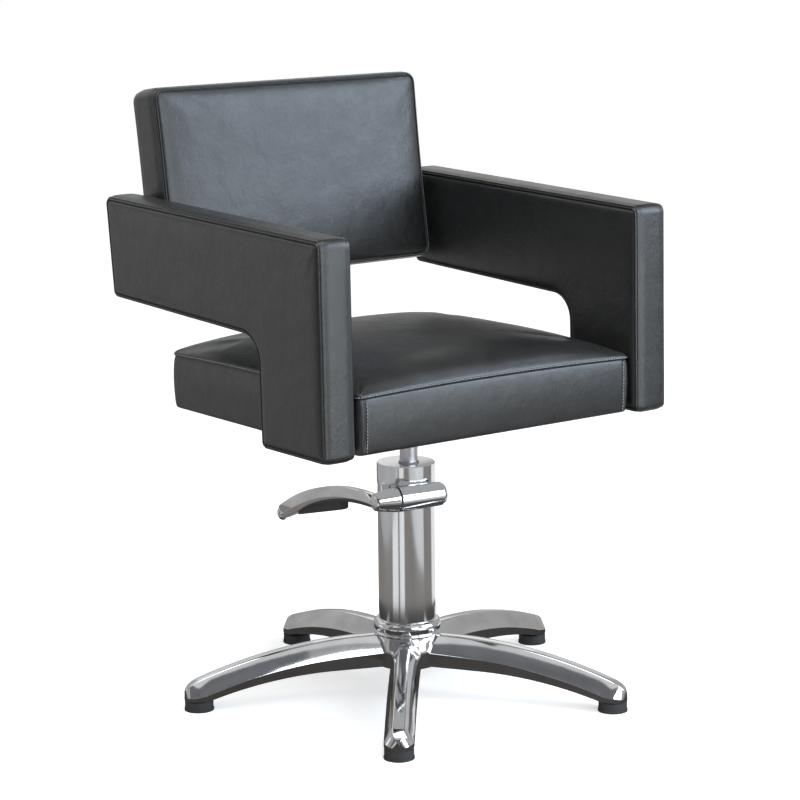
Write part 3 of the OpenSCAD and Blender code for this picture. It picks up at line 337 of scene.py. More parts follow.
def outline_maker(corners, radii, step, arc_steps=8, near=()):
    """Function that gives the rounded outline of an anticlockwise polygon, drawn in as asked."""
    corners = [np.array(c, float) for c in corners]
    count = len(corners)
    shares = [side_places(np.linalg.norm(corners[(i + 1) % count] - corners[i])
        - abs(radii[i]) - abs(radii[(i + 1) % count]), step, near) for i in range(count)]

    def outline(inset=0.0):
        drawn = []
        for i in range(count):
            before, here, after = corners[i - 1], corners[i], corners[(i + 1) % count]
            u, v = unit(here - before), unit(after - here)
            n, m = np.array([-u[1], u[0]]), np.array([-v[1], v[0]])
            drawn.append(here + (n + m) * inset / (1 + n @ m))
        arcs = []
        for i in range(count):
            before, here, after = drawn[i - 1], drawn[i], drawn[(i + 1) % count]
            u, v = unit(before - here), unit(after - here)
            radius = drawn_radius(radii[i], inset)
            half = math.acos(u @ v) / 2
            centre = here + unit(u + v) * radius / math.sin(half)
            first = here + u * radius / math.tan(half) - centre
            last = here + v * radius / math.tan(half) - centre
            chords = [first * (1 - t / arc_steps) + last * t / arc_steps
                for t in range(arc_steps + 1)]
            arcs.append([centre + unit(c) * radius for c in chords])
        points = []
        for i in range(count):
            points += arcs[i]
            start, end = arcs[i][-1], arcs[(i + 1) % count][0]
            points += [start + (end - start) * t for t in shares[i]]
        return np.array(points)

    return outline


square = outline_maker([(0, 0), (1, 0), (1, 1), (0, 1)], [0.2] * 4, 0.1)
print("a rounded square:", len(square(0)), "points")

# %% [markdown]
# ## From outlines to a closed form
# A boxed cushion is a stack of such outlines: up the rear face's edge, along the border, over
# the seam and onto the front face. The two middles that stay open are filled with an even mesh,
# which can bulge like a panel of cloth.

# %% Closed form from rings
def fill_ring(ring, grid):
    """Even triangles inside a ring of flat points: the added points and the faces."""
    low, high = ring.min(0), ring.max(0)
    xs = np.arange(low[0] + grid / 2, high[0], grid)
    ys = np.arange(low[1] + grid / 2, high[1], grid)
    candidates = np.array([(x + (j % 2) * grid / 2, y) for j, y in enumerate(ys) for x in xs])
    ends = np.roll(ring, -1, axis=0)
    a, b, p = ring[None], ends[None], candidates[:, None]
    along = np.clip(((p - a) * (b - a)).sum(2) / ((b - a) ** 2).sum(2), 0, 1)
    gap = np.linalg.norm(p - (a + (b - a) * along[..., None]), axis=2).min(1)
    crosses = (a[..., 1] > p[..., 1]) != (b[..., 1] > p[..., 1])
    slope = (b[..., 0] - a[..., 0]) / (b[..., 1] - a[..., 1] + 1e-12)
    reach = slope * (p[..., 1] - a[..., 1]) + a[..., 0]
    inside = (crosses & (p[..., 0] < reach)).sum(1) % 2 == 1
    extra = candidates[inside & (gap > grid * 0.6)]
    count = len(ring)
    points = [Vector(q) for q in np.vstack([ring, extra])]
    edges = [(i, (i + 1) % count) for i in range(count)]
    made, _, faces, origin, _, _ = delaunay_2d_cdt(points, edges, [], 1, 1e-7)
    number = [o[0] for o in origin]
    return extra, [[number[i] for i in f] for f in faces]


def joined(count, rows):
    """Four-sided faces between rows of points that are closed rings of equal count."""
    return [(k * count + i, k * count + (i + 1) % count, (k + 1) * count + (i + 1) % count,
        (k + 1) * count + i) for k in range(rows - 1) for i in range(count)]


def tube(sections):
    """Points and faces of a closed loft through sections of equal count."""
    count = len(sections[0])
    points = np.vstack(sections)
    last = (len(sections) - 1) * count
    ends = [tuple(reversed(range(count))), tuple(last + i for i in range(count))]
    return points, joined(count, len(sections)) + ends


def gather(parts):
    """Joins several (points, faces) into one."""
    points, faces, base = [], [], 0
    for p, f in parts:
        points.append(p)
        faces += [tuple(i + base for i in face) for face in f]
        base += len(p)
    return np.vstack(points), faces


def closed_form(outline, rings, grid, first_grid=None):
    """Points, faces and ring numbers of a form through rings of (inset, depth)."""
    flat = [outline(inset) for inset, _ in rings]
    count = len(flat[0])
    points = [np.c_[f, np.full(count, depth)] for f, (_, depth) in zip(flat, rings)]
    number = [np.full(count, k) for k in range(len(rings))]
    faces = joined(count, len(rings))
    total = count * len(rings)
    for k, spacing, mark in ((0, first_grid or grid, -1), (len(rings) - 1, grid, len(rings))):
        extra, cells = fill_ring(flat[k], spacing)
        base = k * count
        names = [base + i if i < count else total + i - count for i in range(count + len(extra))]
        cells = [[names[i] for i in c] for c in cells]
        faces += [tuple(reversed(c)) if k == 0 else tuple(c) for c in cells]
        points.append(np.c_[extra, np.full(len(extra), rings[k][1])])
        number.append(np.full(len(extra), mark))
        total += len(extra)
    return np.vstack(points), faces, np.concatenate(number)


def make_piece(name, points, faces, material):
    """Smooth shaded object from points and faces."""
    data = bpy.data.meshes.new(name)
    data.from_pydata([tuple(p) for p in points], [], [tuple(f) for f in faces])
    data.polygons.foreach_set("use_smooth", [True] * len(data.polygons))
    data.materials.append(material)
    data.update()
    piece = bpy.data.objects.new(name, data)
    bpy.context.scene.collection.objects.link(piece)
    return piece


def weld(piece):
    """Joins points in one place, such as the ends of a turned profile on its axis."""
    work = bmesh.new()
    work.from_mesh(piece.data)
    bmesh.ops.remove_doubles(work, verts=work.verts, dist=0.001 * mm)
    work.to_mesh(piece.data)
    work.free()


def get_points(piece):
    """Array of the points of a piece's mesh."""
    flat = np.empty(len(piece.data.vertices) * 3)
    piece.data.vertices.foreach_get("co", flat)
    return flat.reshape(-1, 3)


def set_points(piece, points):
    """Moves the points of a piece's mesh."""
    piece.data.vertices.foreach_set("co", points.ravel())
    piece.data.update()


def apply_modifiers(piece):
    """Keeps what the modifiers make as the piece's own mesh."""
    graph = bpy.context.evaluated_depsgraph_get()
    data = bpy.data.meshes.new_from_object(piece.evaluated_get(graph))
    piece.modifiers.clear()
    piece.data = data


def refine(piece):
    """Subdivides a piece once and keeps the result."""
    piece.modifiers.new("refine", "SUBSURF").levels = 1
    apply_modifiers(piece)


print("a test pad:", len(closed_form(square, [(0, 0), (0, 1)], 0.2)[1]), "faces")

# %% [markdown]
# ## Padding
# A sewn cover is held at its seams and pushed out by the foam between them. Blender's cloth does
# just that: the points along the seams are pinned, a little pressure fills the form, and after
# twenty steps the cloth has found its shape. How far a point may move is capped, so that the
# cushion keeps its measured size.

# %% Padding by cloth simulation
cloth_steps = 20
cloth_nature = {"quality": 6, "mass": 0.3, "tension_stiffness": 30, "compression_stiffness": 30,
    "shear_stiffness": 15, "bending_stiffness": 4, "use_pressure": True}


def inflate(piece, pinned, pressure, cap):
    """Pushes the free points of a piece out by cloth pressure, by no more than cap."""
    start = get_points(piece)
    group = piece.vertex_groups.new(name="seams")
    group.add([int(i) for i in np.nonzero(pinned)[0]], 1.0, "REPLACE")
    cloth = piece.modifiers.new("padding", "CLOTH")
    for key, value in cloth_nature.items():
        setattr(cloth.settings, key, value)
    cloth.settings.uniform_pressure_force = pressure
    cloth.settings.effector_weights.gravity = 0
    cloth.settings.vertex_group_mass = "seams"
    cloth.point_cache.frame_start = 1
    cloth.point_cache.frame_end = cloth_steps
    scene = bpy.context.scene
    for step in range(1, cloth_steps + 1):
        scene.frame_set(step)
    apply_modifiers(piece)
    scene.frame_set(1)
    moved = get_points(piece) - start
    length = np.linalg.norm(moved, axis=1, keepdims=True)
    moved *= cap * np.tanh(length / cap) / np.maximum(length, 1e-9)
    set_points(piece, start + moved)
    piece.vertex_groups.clear()
    print(piece.name, "padding moved", round(float(length.max()) / mm, 1), "mm, capped at",
        round(cap / mm, 1))


def slow_noise(points, width, seed):
    """Soft noise from -1 to 1 at each point, with swells of the given width."""
    shift = Vector((seed * 7.3, seed * 3.1, seed * 5.7))
    return np.array([noise.noise(Vector(p) / width + shift) for p in points])


# %% [markdown]
# ## The seam along the edges
# On the arms and the backrest the face panels are sewn to a border strip. The edge shows a
# narrow lit welt between two dark grooves: the fold of the face panel, and the line where the
# border starts. The rings below follow that section from the middle of a face outwards.

# %% Section of the sewn edge
# Each ring is (drawn in from the edge, drop below the face), in millimetres.
arm_roll = [(26, 0.0), (17, 0.05), (12, 0.3), (9, 0.9), (7.2, 1.7)]
back_roll = [(26, 0.0), (17, 0.4), (12.5, 1.0), (9.6, 1.7), (7.6, 2.3)]
fold_groove = [(6.1, 3.0), (5.5, 4.2), (4.9, 4.5), (4.5, 3.4)]
welt = [(4.1, 2.4), (3.4, 2.0), (2.8, 2.4), (2.4, 3.3)]
border_groove = [(2.1, 4.4), (1.7, 4.8), (1.3, 4.6)]
border_edge = [(0.9, 4.1), (0.5, 4.4), (0.1, 5.4), (-0.1, 7.0), (-0.3, 9.0)]
welt_section = fold_groove + welt + border_groove + border_edge
border_places = (0.23, 0.36, 0.5, 0.64, 0.77)
border_swell = 0.3 * mm
pinned_insets = (1.6, 5.6)


def boxed_rings(thickness, belly, roll):
    """Rings of a boxed pad from its rear face round its border to its front face."""
    near = [(inset * mm, drop * mm) for inset, drop in roll + welt_section]
    far = [(inset, thickness - drop) for inset, drop in reversed(near)]
    middle = [(-belly * (1 - (2 * t - 1) ** 4) - border_swell, thickness * t)
        for t in border_places]
    return near + middle + far


def seam_pins(number, rings):
    """True for the points of both seams, from one groove to the other."""
    low, high = (inset * mm for inset in pinned_insets)
    return np.isin(number, [k for k, (inset, _) in enumerate(rings) if low <= inset <= high])


print("sewn edge:", len(welt_section), "rings a side")

# %% [markdown]
# ## Arms
# Each arm is a flat panel in the shape of a seven, 55 mm thick, padded with a thin foam on both
# sides and covered. The bar rises a little towards the rear and the front leg leans with it. The
# hollow corner under the bar is a wide curve. The arm is drawn in side view, with Y along and Z
# up, and its thickness runs out from the seat.

# %% Arm covers
cover_step, cover_grid = 7 * mm, 10 * mm
light_pressure, light_cap = 0.6, 0.4 * mm
arm_low, arm_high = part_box("right_arm_cover")
arm_thickness = arm_high.x - arm_low.x
arm_front, arm_rear = arm_low.y, arm_high.y
arm_bottom, arm_top = arm_low.z, arm_high.z
bar_depth = 141 * mm
bar_fall = 12 * mm
rear_rake = 17 * mm
front_rake = 5 * mm
leg_depth = 144 * mm
leg_rake = 5 * mm
arm_corners = [
    (arm_front, arm_bottom), (arm_front + leg_depth, arm_bottom),
    (arm_front + leg_depth + leg_rake, arm_top - bar_fall - bar_depth),
    (arm_rear - rear_rake, arm_top - bar_depth), (arm_rear, arm_top),
    (arm_front + front_rake, arm_top - bar_fall)]
arm_radii = [9 * mm, 9 * mm, -36 * mm, 9 * mm, 11 * mm, 11 * mm]
arm_outline = outline_maker(arm_corners, arm_radii, cover_step)
arm_belly = 1.4 * mm
arm_swell, arm_swell_width = 0.35 * mm, 70 * mm
# The photograph shows the outer edge of the right arm a little further out.
right_arm_extra = 2.5 * mm


def arm_cover(name, side, thickness, seed):
    """Padded and sewn cover of one arm; side is 1 on the right and -1 on the left."""
    rings = boxed_rings(thickness, arm_belly, arm_roll)
    points, faces, number = closed_form(arm_outline, rings, cover_grid)
    world = np.c_[side * (arm_low.x + points[:, 2]), points[:, 0], points[:, 1]]
    if side < 0:
        faces = [tuple(reversed(f)) for f in faces]
    piece = make_piece(name, world, faces, leatherette)
    inflate(piece, seam_pins(number, rings), light_pressure, light_cap)
    points = get_points(piece)
    points[:, 0] += arm_swell * slow_noise(points, arm_swell_width, seed)
    set_points(piece, points)
    refine(piece)
    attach(piece, "seat")
    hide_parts(name.replace("upholstery", "cover"))
    print(name, len(piece.data.vertices), "points")


arm_cover("left_arm_upholstery", -1, arm_thickness, 1)
arm_cover("right_arm_upholstery", 1, arm_thickness + right_arm_extra, 2)

# %% [markdown]
# ## Backrest
# The backrest is a boxed cushion that leans back by 8 degrees between the arms. Its front panel
# is full, its rear panel nearly flat, and both are sewn to the border with the same edge as the
# arms. It is drawn upright, in X and its own height, and then leant back about its lower edge.

# %% Backrest cover
back_width = 460 * mm
back_height = 275 * mm
back_thickness = 64 * mm
back_lean = math.radians(8)
back_foot = (233 * mm, 582 * mm)
back_corner = 16 * mm
back_belly = 1.8 * mm
front_bulge, rear_bulge = 5.4 * mm, -1.5 * mm
side_pull = 1.5 * mm
back_swell, back_swell_width = 0.5 * mm, 90 * mm
half_width = back_width / 2
back_corners = [(-half_width, 0), (half_width, 0), (half_width, back_height),
    (-half_width, back_height)]
back_outline = outline_maker(back_corners, [back_corner] * 4, cover_step)


def backrest_cover():
    """Padded and sewn cover of the backrest."""
    rings = boxed_rings(back_thickness, back_belly, back_roll)
    points, faces, number = closed_form(back_outline, rings, cover_grid)
    across, up, depth = points.T
    side = np.clip(np.abs(across) / half_width, 0, 1)
    rise = np.clip(np.abs(up / back_height * 2 - 1), 0, 1)
    bulge = (1 - side ** 6) * (1 - rise ** 8)
    front = depth > back_thickness / 2
    depth = depth + np.where(front, front_bulge, rear_bulge) * bulge
    drawn = side_pull * np.sin(np.pi * np.clip(up / back_height, 0, 1))
    across = across - np.sign(across) * drawn * side ** 6
    c, s = math.cos(back_lean), math.sin(back_lean)
    behind = back_thickness - depth
    world = np.c_[across, back_foot[0] + behind * c + up * s,
        back_foot[1] - behind * s + up * c]
    piece = make_piece("backrest_upholstery", world, faces, leatherette)
    inflate(piece, seam_pins(number, rings), light_pressure, light_cap)
    points = get_points(piece)
    points[:, 1] += back_swell * slow_noise(points, back_swell_width, 3)
    set_points(piece, points)
    refine(piece)
    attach(piece, "seat")
    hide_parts("back_cover")
    print("backrest", len(piece.data.vertices), "points")


backrest_cover()

# %% [markdown]
# ## Seat
# The seat is a box of foam on a board, with a crowned top. The top panel folds over the edge and
# is stitched down on the border about 9 mm lower, so a band runs round under the edge. The
# border is four strips, joined at the corners with a stitched seam. Below, the cover is turned in
# over the rails and leaves the middle open for the lining.

# %% Seat cover
seat_width = 472 * mm
seat_depth = 438 * mm
seat_height = 84 * mm
seat_bottom = 406 * mm
seat_middle = 14 * mm
seat_corner = 9 * mm
corner_taper = 7 * mm
seat_crown, edge_crown = 26 * mm, 5 * mm
crown_fall_right, crown_fall_rear = 0.08, 0.17
seat_pressure, seat_cap = 2.0, 2 * mm
seat_swell, seat_swell_width = 0.6 * mm, 80 * mm
corner_groove, corner_groove_width = 2.2 * mm, 1.6 * mm
half_x, half_y = seat_width / 2, seat_depth / 2
seat_corners = [(-half_x, -half_y), (half_x, -half_y), (half_x, half_y), (-half_x, half_y)]
seat_outline = outline_maker(seat_corners, [seat_corner] * 4, cover_step, arc_steps=10,
    near=(1.5 * mm, 3 * mm, 4.5 * mm))
# Each ring is (drawn in from the edge, height over the underside), in millimetres.
turned_in = [(26, 40), (26, 0.0), (9, 0.0), (4, 0.7), (1.4, 2.6)]
seat_border = [(0.3, 6), (-0.6, 14), (-1.6, 28), (-2.0, 42), (-1.7, 56), (-0.8, 67), (0.2, 72.4)]
stitched_groove = [(1.0, 74.1), (1.5, 74.7), (1.0, 75.3)]
folded_band = [(0.1, 76.5), (-0.5, 78.2), (-0.1, 80.2), (1.2, 82.0), (3.4, 83.6)]
top_edge = [(6.4, 84.5), (11, 84.9), (17, 85)]
seat_section = turned_in + seat_border + stitched_groove + folded_band + top_edge
first_border = len(turned_in)
first_groove = first_border + len(seat_border)
first_band = first_groove + len(stitched_groove)
stitch_ring = first_band + 1
last_ring = len(seat_section) - 1


def seat_cover():
    """Crowned and stitched cover of the seat; gives back the line of its stitches."""
    rings = [(inset * mm, height * mm) for inset, height in seat_section]
    points, faces, number = closed_form(seat_outline, rings, cover_grid, first_grid=40 * mm)
    x, y, z = points.T
    u, v = np.clip(np.abs(x) / half_x, 0, 1), np.clip(np.abs(y) / half_y, 0, 1)
    border = np.clip(z / seat_height, 0, 1) * (number > 0)
    along = np.maximum(1 - u ** 2, 1 - v ** 2)
    z = z + edge_crown * along * border ** 2
    top = np.clip((number - first_band - 3) / 3, 0, 1) * (number > 0)
    fall = 1 - crown_fall_right * x / half_x - crown_fall_rear * y / half_y
    crown = (1 - u ** 5) * (1 - v ** 8) * fall
    z = z + (seat_crown - edge_crown) * crown * top
    corner = half_x - seat_corner - 1 * mm
    on_front = (y < 6 * mm - half_y) & (number > first_border) & (number <= first_groove)
    y = y + on_front * corner_groove * np.exp(-((np.abs(x) - corner) / corner_groove_width) ** 2)
    drawn = np.clip((-y - half_y / 2) / (half_y / 2), 0, 1) ** 2 * np.clip(-x / half_x, 0, 1) ** 2
    world = np.c_[x + corner_taper * drawn, y + seat_middle, z + seat_bottom]
    piece = make_piece("seat_upholstery", world, faces, leatherette)
    held = (number >= first_groove) & (number <= first_band + 2) | (number < first_border - 1)
    inflate(piece, held, seat_pressure, seat_cap)
    points = get_points(piece)
    lift = (number > last_ring - 2) * seat_swell
    points[:, 2] += lift * slow_noise(points, seat_swell_width, 5)
    set_points(piece, points)
    ring = points[number == stitch_ring]
    refine(piece)
    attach(piece, "seat")
    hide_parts("seat_cover")
    print("seat", len(piece.data.vertices), "points")
    return ring


band = seat_cover()


# %% [markdown]
# ## Stitches
# A row of stitches is one small capsule repeated along a line. Each capsule is a short tube of
# thread that dips at both ends where the thread goes through the cover.

# %% Stitches along a line
stitch_pitch = 4.6 * mm
stitch_length = 3.4 * mm
thread_radius = 0.6 * mm
thread_angles = [-math.tau * t / 6 for t in range(6)]
# Each ring of a stitch is (place along it, share of the radius, rise in radii).
stitch_rings = ((-0.5, 0.35, -0.6), (-0.32, 0.9, 0.15), (0, 1, 0.35), (0.32, 0.9, 0.15),
    (0.5, 0.35, -0.6))


def seat_outward(point):
    """Way off the border of the seat at a point."""
    x, y = point[0], point[1] - seat_middle
    ex, ey = max(abs(x) - half_x + seat_corner, 0), max(abs(y) - half_y + seat_corner, 0)
    off = np.array([math.copysign(ex, x), math.copysign(ey, y), 0.0])
    return off / max(np.linalg.norm(off), 1e-9)


def stitches(name, line, closed):
    """Row of stitches along a line of points on the border of the seat."""
    ends = np.roll(line, -1, axis=0) if closed else line[1:]
    starts = line if closed else line[:-1]
    lengths = np.linalg.norm(ends - starts, axis=1)
    total = np.concatenate([[0], np.cumsum(lengths)])
    parts = []
    for k in range(int(total[-1] / stitch_pitch)):
        middle = (k + 0.5) * stitch_pitch
        i = min(int(np.searchsorted(total, middle)) - 1, len(starts) - 1)
        along = (ends[i] - starts[i]) / lengths[i]
        centre = starts[i] + along * (middle - total[i])
        off = seat_outward(centre)
        off = unit(off - along * (off @ along))
        across = np.cross(along, off)
        parts.append(tube([[centre + along * share * stitch_length + off * rise * thread_radius
            + (across * math.cos(a) + off * math.sin(a)) * thread_radius * size
            for a in thread_angles] for share, size, rise in stitch_rings]))
    piece = make_piece(name, *gather(parts), thread)
    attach(piece, "seat")
    print(name, len(parts), "stitches")


stitches("seat_edge_stitches", band, True)
# The corner seams follow the drawn-in left corner and the belly of the border.
seam_x = half_x - seat_corner - 3.2 * mm
seam_shift = {"left": 0.92 * corner_taper, "right": 0}
border_belly = 1.9 * mm
heights = np.linspace(seat_bottom + 4 * mm, seat_bottom + 74 * mm, 15)
depths = seat_middle - half_y - border_belly * np.sin(np.pi * (heights - seat_bottom) / seat_height)
for side, word in ((-1, "left"), (1, "right")):
    line = np.c_[np.full(len(heights), side * seam_x + seam_shift[word]), depths, heights]
    stitches(f"seat_{word}_corner_stitches", line, False)

# %% [markdown]
# ## Star base
# The star is one aluminium casting with five arched legs. A leg has a flat strip along its
# ridge, two long bevels, and short upright sides, and ends in a round foot. Wheel polishing
# leaves every edge soft, so each section of the leg is a polygon with rounded corners, and the
# sections are closer together where the foot turns down.

# %% Star base
star_turn = math.radians(-3.4)
foot_radius = 304 * mm
hub_radius = 46 * mm
hub_bottom = 42 * mm
hub_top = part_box("base_ring")[0].z
leg_width = 41 * mm
leg_root = 50 * mm
leg_flat = 16 * mm
leg_top = 88 * mm
leg_low = 43 * mm
foot_low = 14 * mm
hub_bore = 22 * mm
leg_start = 30 * mm
toe_fall = 10 * mm
top_arc, low_arc = 700 * mm, 615 * mm
top_arc_start, low_arc_start = 60 * mm, 110 * mm
leg_corner_radii = (0.5, 0.5, 0.5, 3.5, 3.0, 3.0, 3.5, 0.5)


def drop(x, radius):
    """Fall of an arc at a distance from its start."""
    return radius - math.sqrt(radius ** 2 - x ** 2) if x > 0 else 0.0


def leg_section(r, fall):
    """Rounded section of a leg at a distance from the axis: points across and up."""
    t = min(max((r - hub_radius) / (foot_radius - hub_radius), 0), 1)
    s = min(max((r - hub_radius) / (foot_radius / 3), 0), 1)
    past = max(r - foot_radius, 0)
    wide = min(leg_root / 2 * (1 - s) + leg_width / 2 * s,
        math.sqrt(max(leg_width ** 2 / 4 - past ** 2, 1e-8)))
    top = leg_top - drop(r - top_arc_start, top_arc) - fall
    low = max(leg_low - drop(r - low_arc_start, low_arc), foot_low)
    side = low + (top - low) * (0.45 * (1 - t) + 0.3 * t)
    flat = min(leg_flat / 2, wide * 0.5)
    bevel = min(2 * mm, wide * 0.25)
    corners = [(-wide + bevel, low), (wide - bevel, low), (wide, low + bevel), (wide, side),
        (flat, top), (-flat, top), (-wide, side), (-wide, low + bevel)]
    size = wide / (leg_width / 2)
    radii = [v * mm * min(size, 1) for v in leg_corner_radii]
    return outline_maker(corners, radii, 1.0, arc_steps=3)(0)


def turned(profile, steps=96):
    """Points and faces of a form turned round Z from a closed profile of (radius, height)."""
    points = [(r * math.cos(math.tau * k / steps), r * math.sin(math.tau * k / steps), z)
        for k in range(steps) for r, z in profile]
    n = len(profile)
    faces = [(k * n + i, (k + 1) % steps * n + i, (k + 1) % steps * n + (i + 1) % n,
        k * n + (i + 1) % n) for k in range(steps) for i in range(n)]
    return np.array(points), faces


def turn_points(points, angle):
    """Turns points round Z."""
    c, s = math.cos(angle), math.sin(angle)
    return points @ np.array([[c, s, 0], [-s, c, 0], [0, 0, 1]])


stations = [(leg_start + (foot_radius - leg_start) * k / 36, 0.0) for k in range(37)]
for degrees in range(10, 90, 8):
    angle = math.radians(degrees)
    stations.append((foot_radius + leg_width / 2 * math.sin(angle),
        toe_fall * (1 - math.cos(angle))))
leg_sections = []
for r, fall in stations:
    flat = leg_section(r, fall)
    leg_sections.append(np.c_[flat[:, 0], np.full(len(flat), -r), flat[:, 1]])
leg = tube(leg_sections)
hub_profile = [(hub_bore, hub_bottom), (hub_radius - 2 * mm, hub_bottom),
    (hub_radius - 0.6 * mm, hub_bottom + 0.6 * mm), (hub_radius, hub_bottom + 2 * mm),
    (hub_radius, hub_top - 1 * mm), (hub_radius - 1 * mm, hub_top), (hub_bore, hub_top)]
parts = [turned(hub_profile)]
for k in range(5):
    parts.append((turn_points(leg[0], math.radians(72 * (k - 0.5)) + star_turn), leg[1]))
star = make_piece("polished_star", *gather(parts), aluminium)
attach(star, "base")
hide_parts("star_base")
print("star", len(star.data.vertices), "points")

# %% [markdown]
# ## Trim ring
# A pressed and chromed ring hides the joint of column and star. It has a full round shoulder
# over a narrow lip, and the groove between them draws the dark line that the eye sees.

# %% Trim ring
ring_bottom, ring_top = (corner.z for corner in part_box("base_ring"))
# Each point is (radius, height), in millimetres.
ring_shoulder = [(40.5, 22), (42.4, 21.8), (44.6, 20.8), (46.6, 18.8), (48.0, 15.8), (48.5, 12.2),
    (48.0, 8.8), (46.9, 6.4)]
ring_groove = [(45.7, 5.3), (45.4, 4.7), (45.9, 4.2)]
ring_lip = [(46.9, 3.7), (47.4, 2.5), (47.1, 1.0), (46.0, 0.1), (40.5, 0.1)]
ring_profile = [(r * mm, ring_bottom + h * mm) for r, h in ring_shoulder + ring_groove + ring_lip]
ring_points, ring_faces = turned(ring_profile[::-1])
trim = make_piece("chromed_trim_ring", ring_points, ring_faces, chrome)
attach(trim, "base")
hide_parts("base_ring")
print("trim ring height", round((ring_top - ring_bottom) / mm, 1), "mm")

# %% [markdown]
# ## Foot lever
# The lever is a chromed forging that arches back from its eye: a flat top, two long bevels that
# meet in a ridge on each side, and a narrower underside. It is lofted through leaning sections
# like a leg of the star. The eye is a turned cone that meets the housing at a black ring, and
# the far end narrows to a rounded knob, which keeps the shoe from slipping off.

# %% Foot lever
pump_turn = math.radians(-7.5)
axle_off = 50 * mm
axle_height = 295 * mm
lever_length = 311 * mm
lever_width = 25 * mm
lever_height = 17 * mm
lever_middle = -68.5 * mm
lever_share_below_axle = 0.59
lever_low_height = axle_height - lever_height * lever_share_below_axle
lever_mitre = 18 * mm
lever_straight = 215 * mm
lever_top_arc, lever_low_arc = 590 * mm, 570 * mm
lever_peak = 22 * mm
taper_start = 200 * mm
lever_tip_share = 0.56
lever_corner_radii = (1.2, 1.2, 2.2, 2.0, 2.0, 2.2)
housing_radius = 18.2 * mm
seam_place = -45 * mm
eye_end = -80 * mm


def lever_low(w):
    """Height of the lever's underside at a distance behind the axle: an arc, then straight."""
    near, far = min(w, lever_straight), max(w - lever_straight, 0)
    slope = near / math.sqrt(lever_low_arc ** 2 - near ** 2)
    return lever_low_height - drop(near, lever_low_arc) - far * slope


def lever_section(w, narrow):
    """Leaning section of the lever, in the frame of the pump."""
    t = max(w, 0) / lever_length
    lean = lever_mitre * t
    top = lever_low_height + lever_height - drop(abs(w - lever_peak), lever_top_arc)
    low = lever_low(w - lean)
    thin = np.clip((w - taper_start) / (lever_length - taper_start), 0, 1)
    half = lever_width / 2 * narrow * (1 - (1 - lever_tip_share) * thin ** 2)
    cut = (top - low) * (1 - narrow) / 2
    share = 0.4 * (1 - t) + 0.27 * t
    height = math.hypot(top - low, lean)
    low_half, top_half = 0.7 * half, 0.38 * half
    corners = [(-low_half, cut), (low_half, cut), (half, height * share),
        (top_half, height - cut), (-top_half, height - cut), (-half, height * share)]
    radii = [v * mm for v in lever_corner_radii]
    flat = outline_maker(corners, radii, 1.0, arc_steps=4)(0)
    slope = np.array([lean, top - low]) / height
    foot = np.array([w - lean, low])
    side = foot[None] + flat[:, 1:] * slope[None]
    return np.c_[flat[:, 0] + lever_middle, side[:, 0] - axle_off, side[:, 1]]


places = [(-5 * mm + (lever_length + 1 * mm) * k / 40, 1.0) for k in range(41)]
places += [(lever_length - 2.5 * mm, 0.985), (lever_length - 1.2 * mm, 0.95), (lever_length, 0.86)]
bar = tube([lever_section(w, narrow) for w, narrow in places][::-1])
eye_length = seam_place - eye_end
eye_profile = [(0, 0), (9 * mm, 0), (10.6 * mm, 0.5 * mm), (12 * mm, 1.8 * mm), (12.8 * mm, 4 * mm),
    (housing_radius - 0.5 * mm, eye_length - 1.5 * mm),
    (housing_radius - 0.3 * mm, eye_length - 0.5 * mm),
    (housing_radius - 0.8 * mm, eye_length), (0, eye_length)]
eye_points, eye_faces = turned(eye_profile)
eye_place = np.array([eye_end, -axle_off, axle_height])
eye_points = eye_points[:, [2, 1, 0]] * np.array([1, 1, -1]) + eye_place
knob_profile = [(0, -4), (5, -4), (8, -3.2), (9.8, -1.4), (10.4, 0.4), (9.8, 2.2), (8, 3.6),
    (5, 4.2), (0, 4.2)]
knob_points, knob_faces = turned([(r * mm, h * mm) for r, h in knob_profile], 48)
knob_lean = math.atan2(lever_mitre, lever_height) / 2
knob_squeeze = 0.74
knob_height = 217 * mm
knob_place = np.array([lever_middle, lever_length - lever_mitre / 2 - axle_off, knob_height])
c, s = math.cos(knob_lean), math.sin(knob_lean)
knob_points = np.c_[knob_points[:, 0] * knob_squeeze, knob_points[:, 2] * c + knob_points[:, 1] * s,
    -knob_points[:, 2] * s + knob_points[:, 1] * c] + knob_place
knob_faces = [tuple(reversed(f)) for f in knob_faces]
lever_points, lever_faces = gather([bar, (eye_points, eye_faces), (knob_points, knob_faces)])
lever = make_piece("chromed_lever", turn_points(lever_points, pump_turn), lever_faces, chrome)
weld(lever)
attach(lever, "lever")
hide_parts("pump_lever")
print("lever", len(lever.data.vertices), "points")

# %% [markdown]
# ## Studio
# The chair stands on a white sweep. The floor is seen at full white by the camera and by the
# chrome, and still takes the chair's soft shadow. Large soft lamps stand where the sheen on the
# covers shows them: a cool one to the front right and a warmer one behind the right arm.

# %% Floor and lamps
def seen_directly(tree):
    """1 for rays from the camera, off a mirror or through glass, and 0 for stray light."""
    path = add(tree, "ShaderNodeLightPath").outputs
    direct = add(tree, "ShaderNodeMath", {0: path["Is Camera Ray"], 1: path["Is Glossy Ray"]},
        operation="MAXIMUM")
    return add(tree, "ShaderNodeMath", {0: direct.outputs[0], 1: path["Is Transmission Ray"]},
        operation="MAXIMUM").outputs[0]


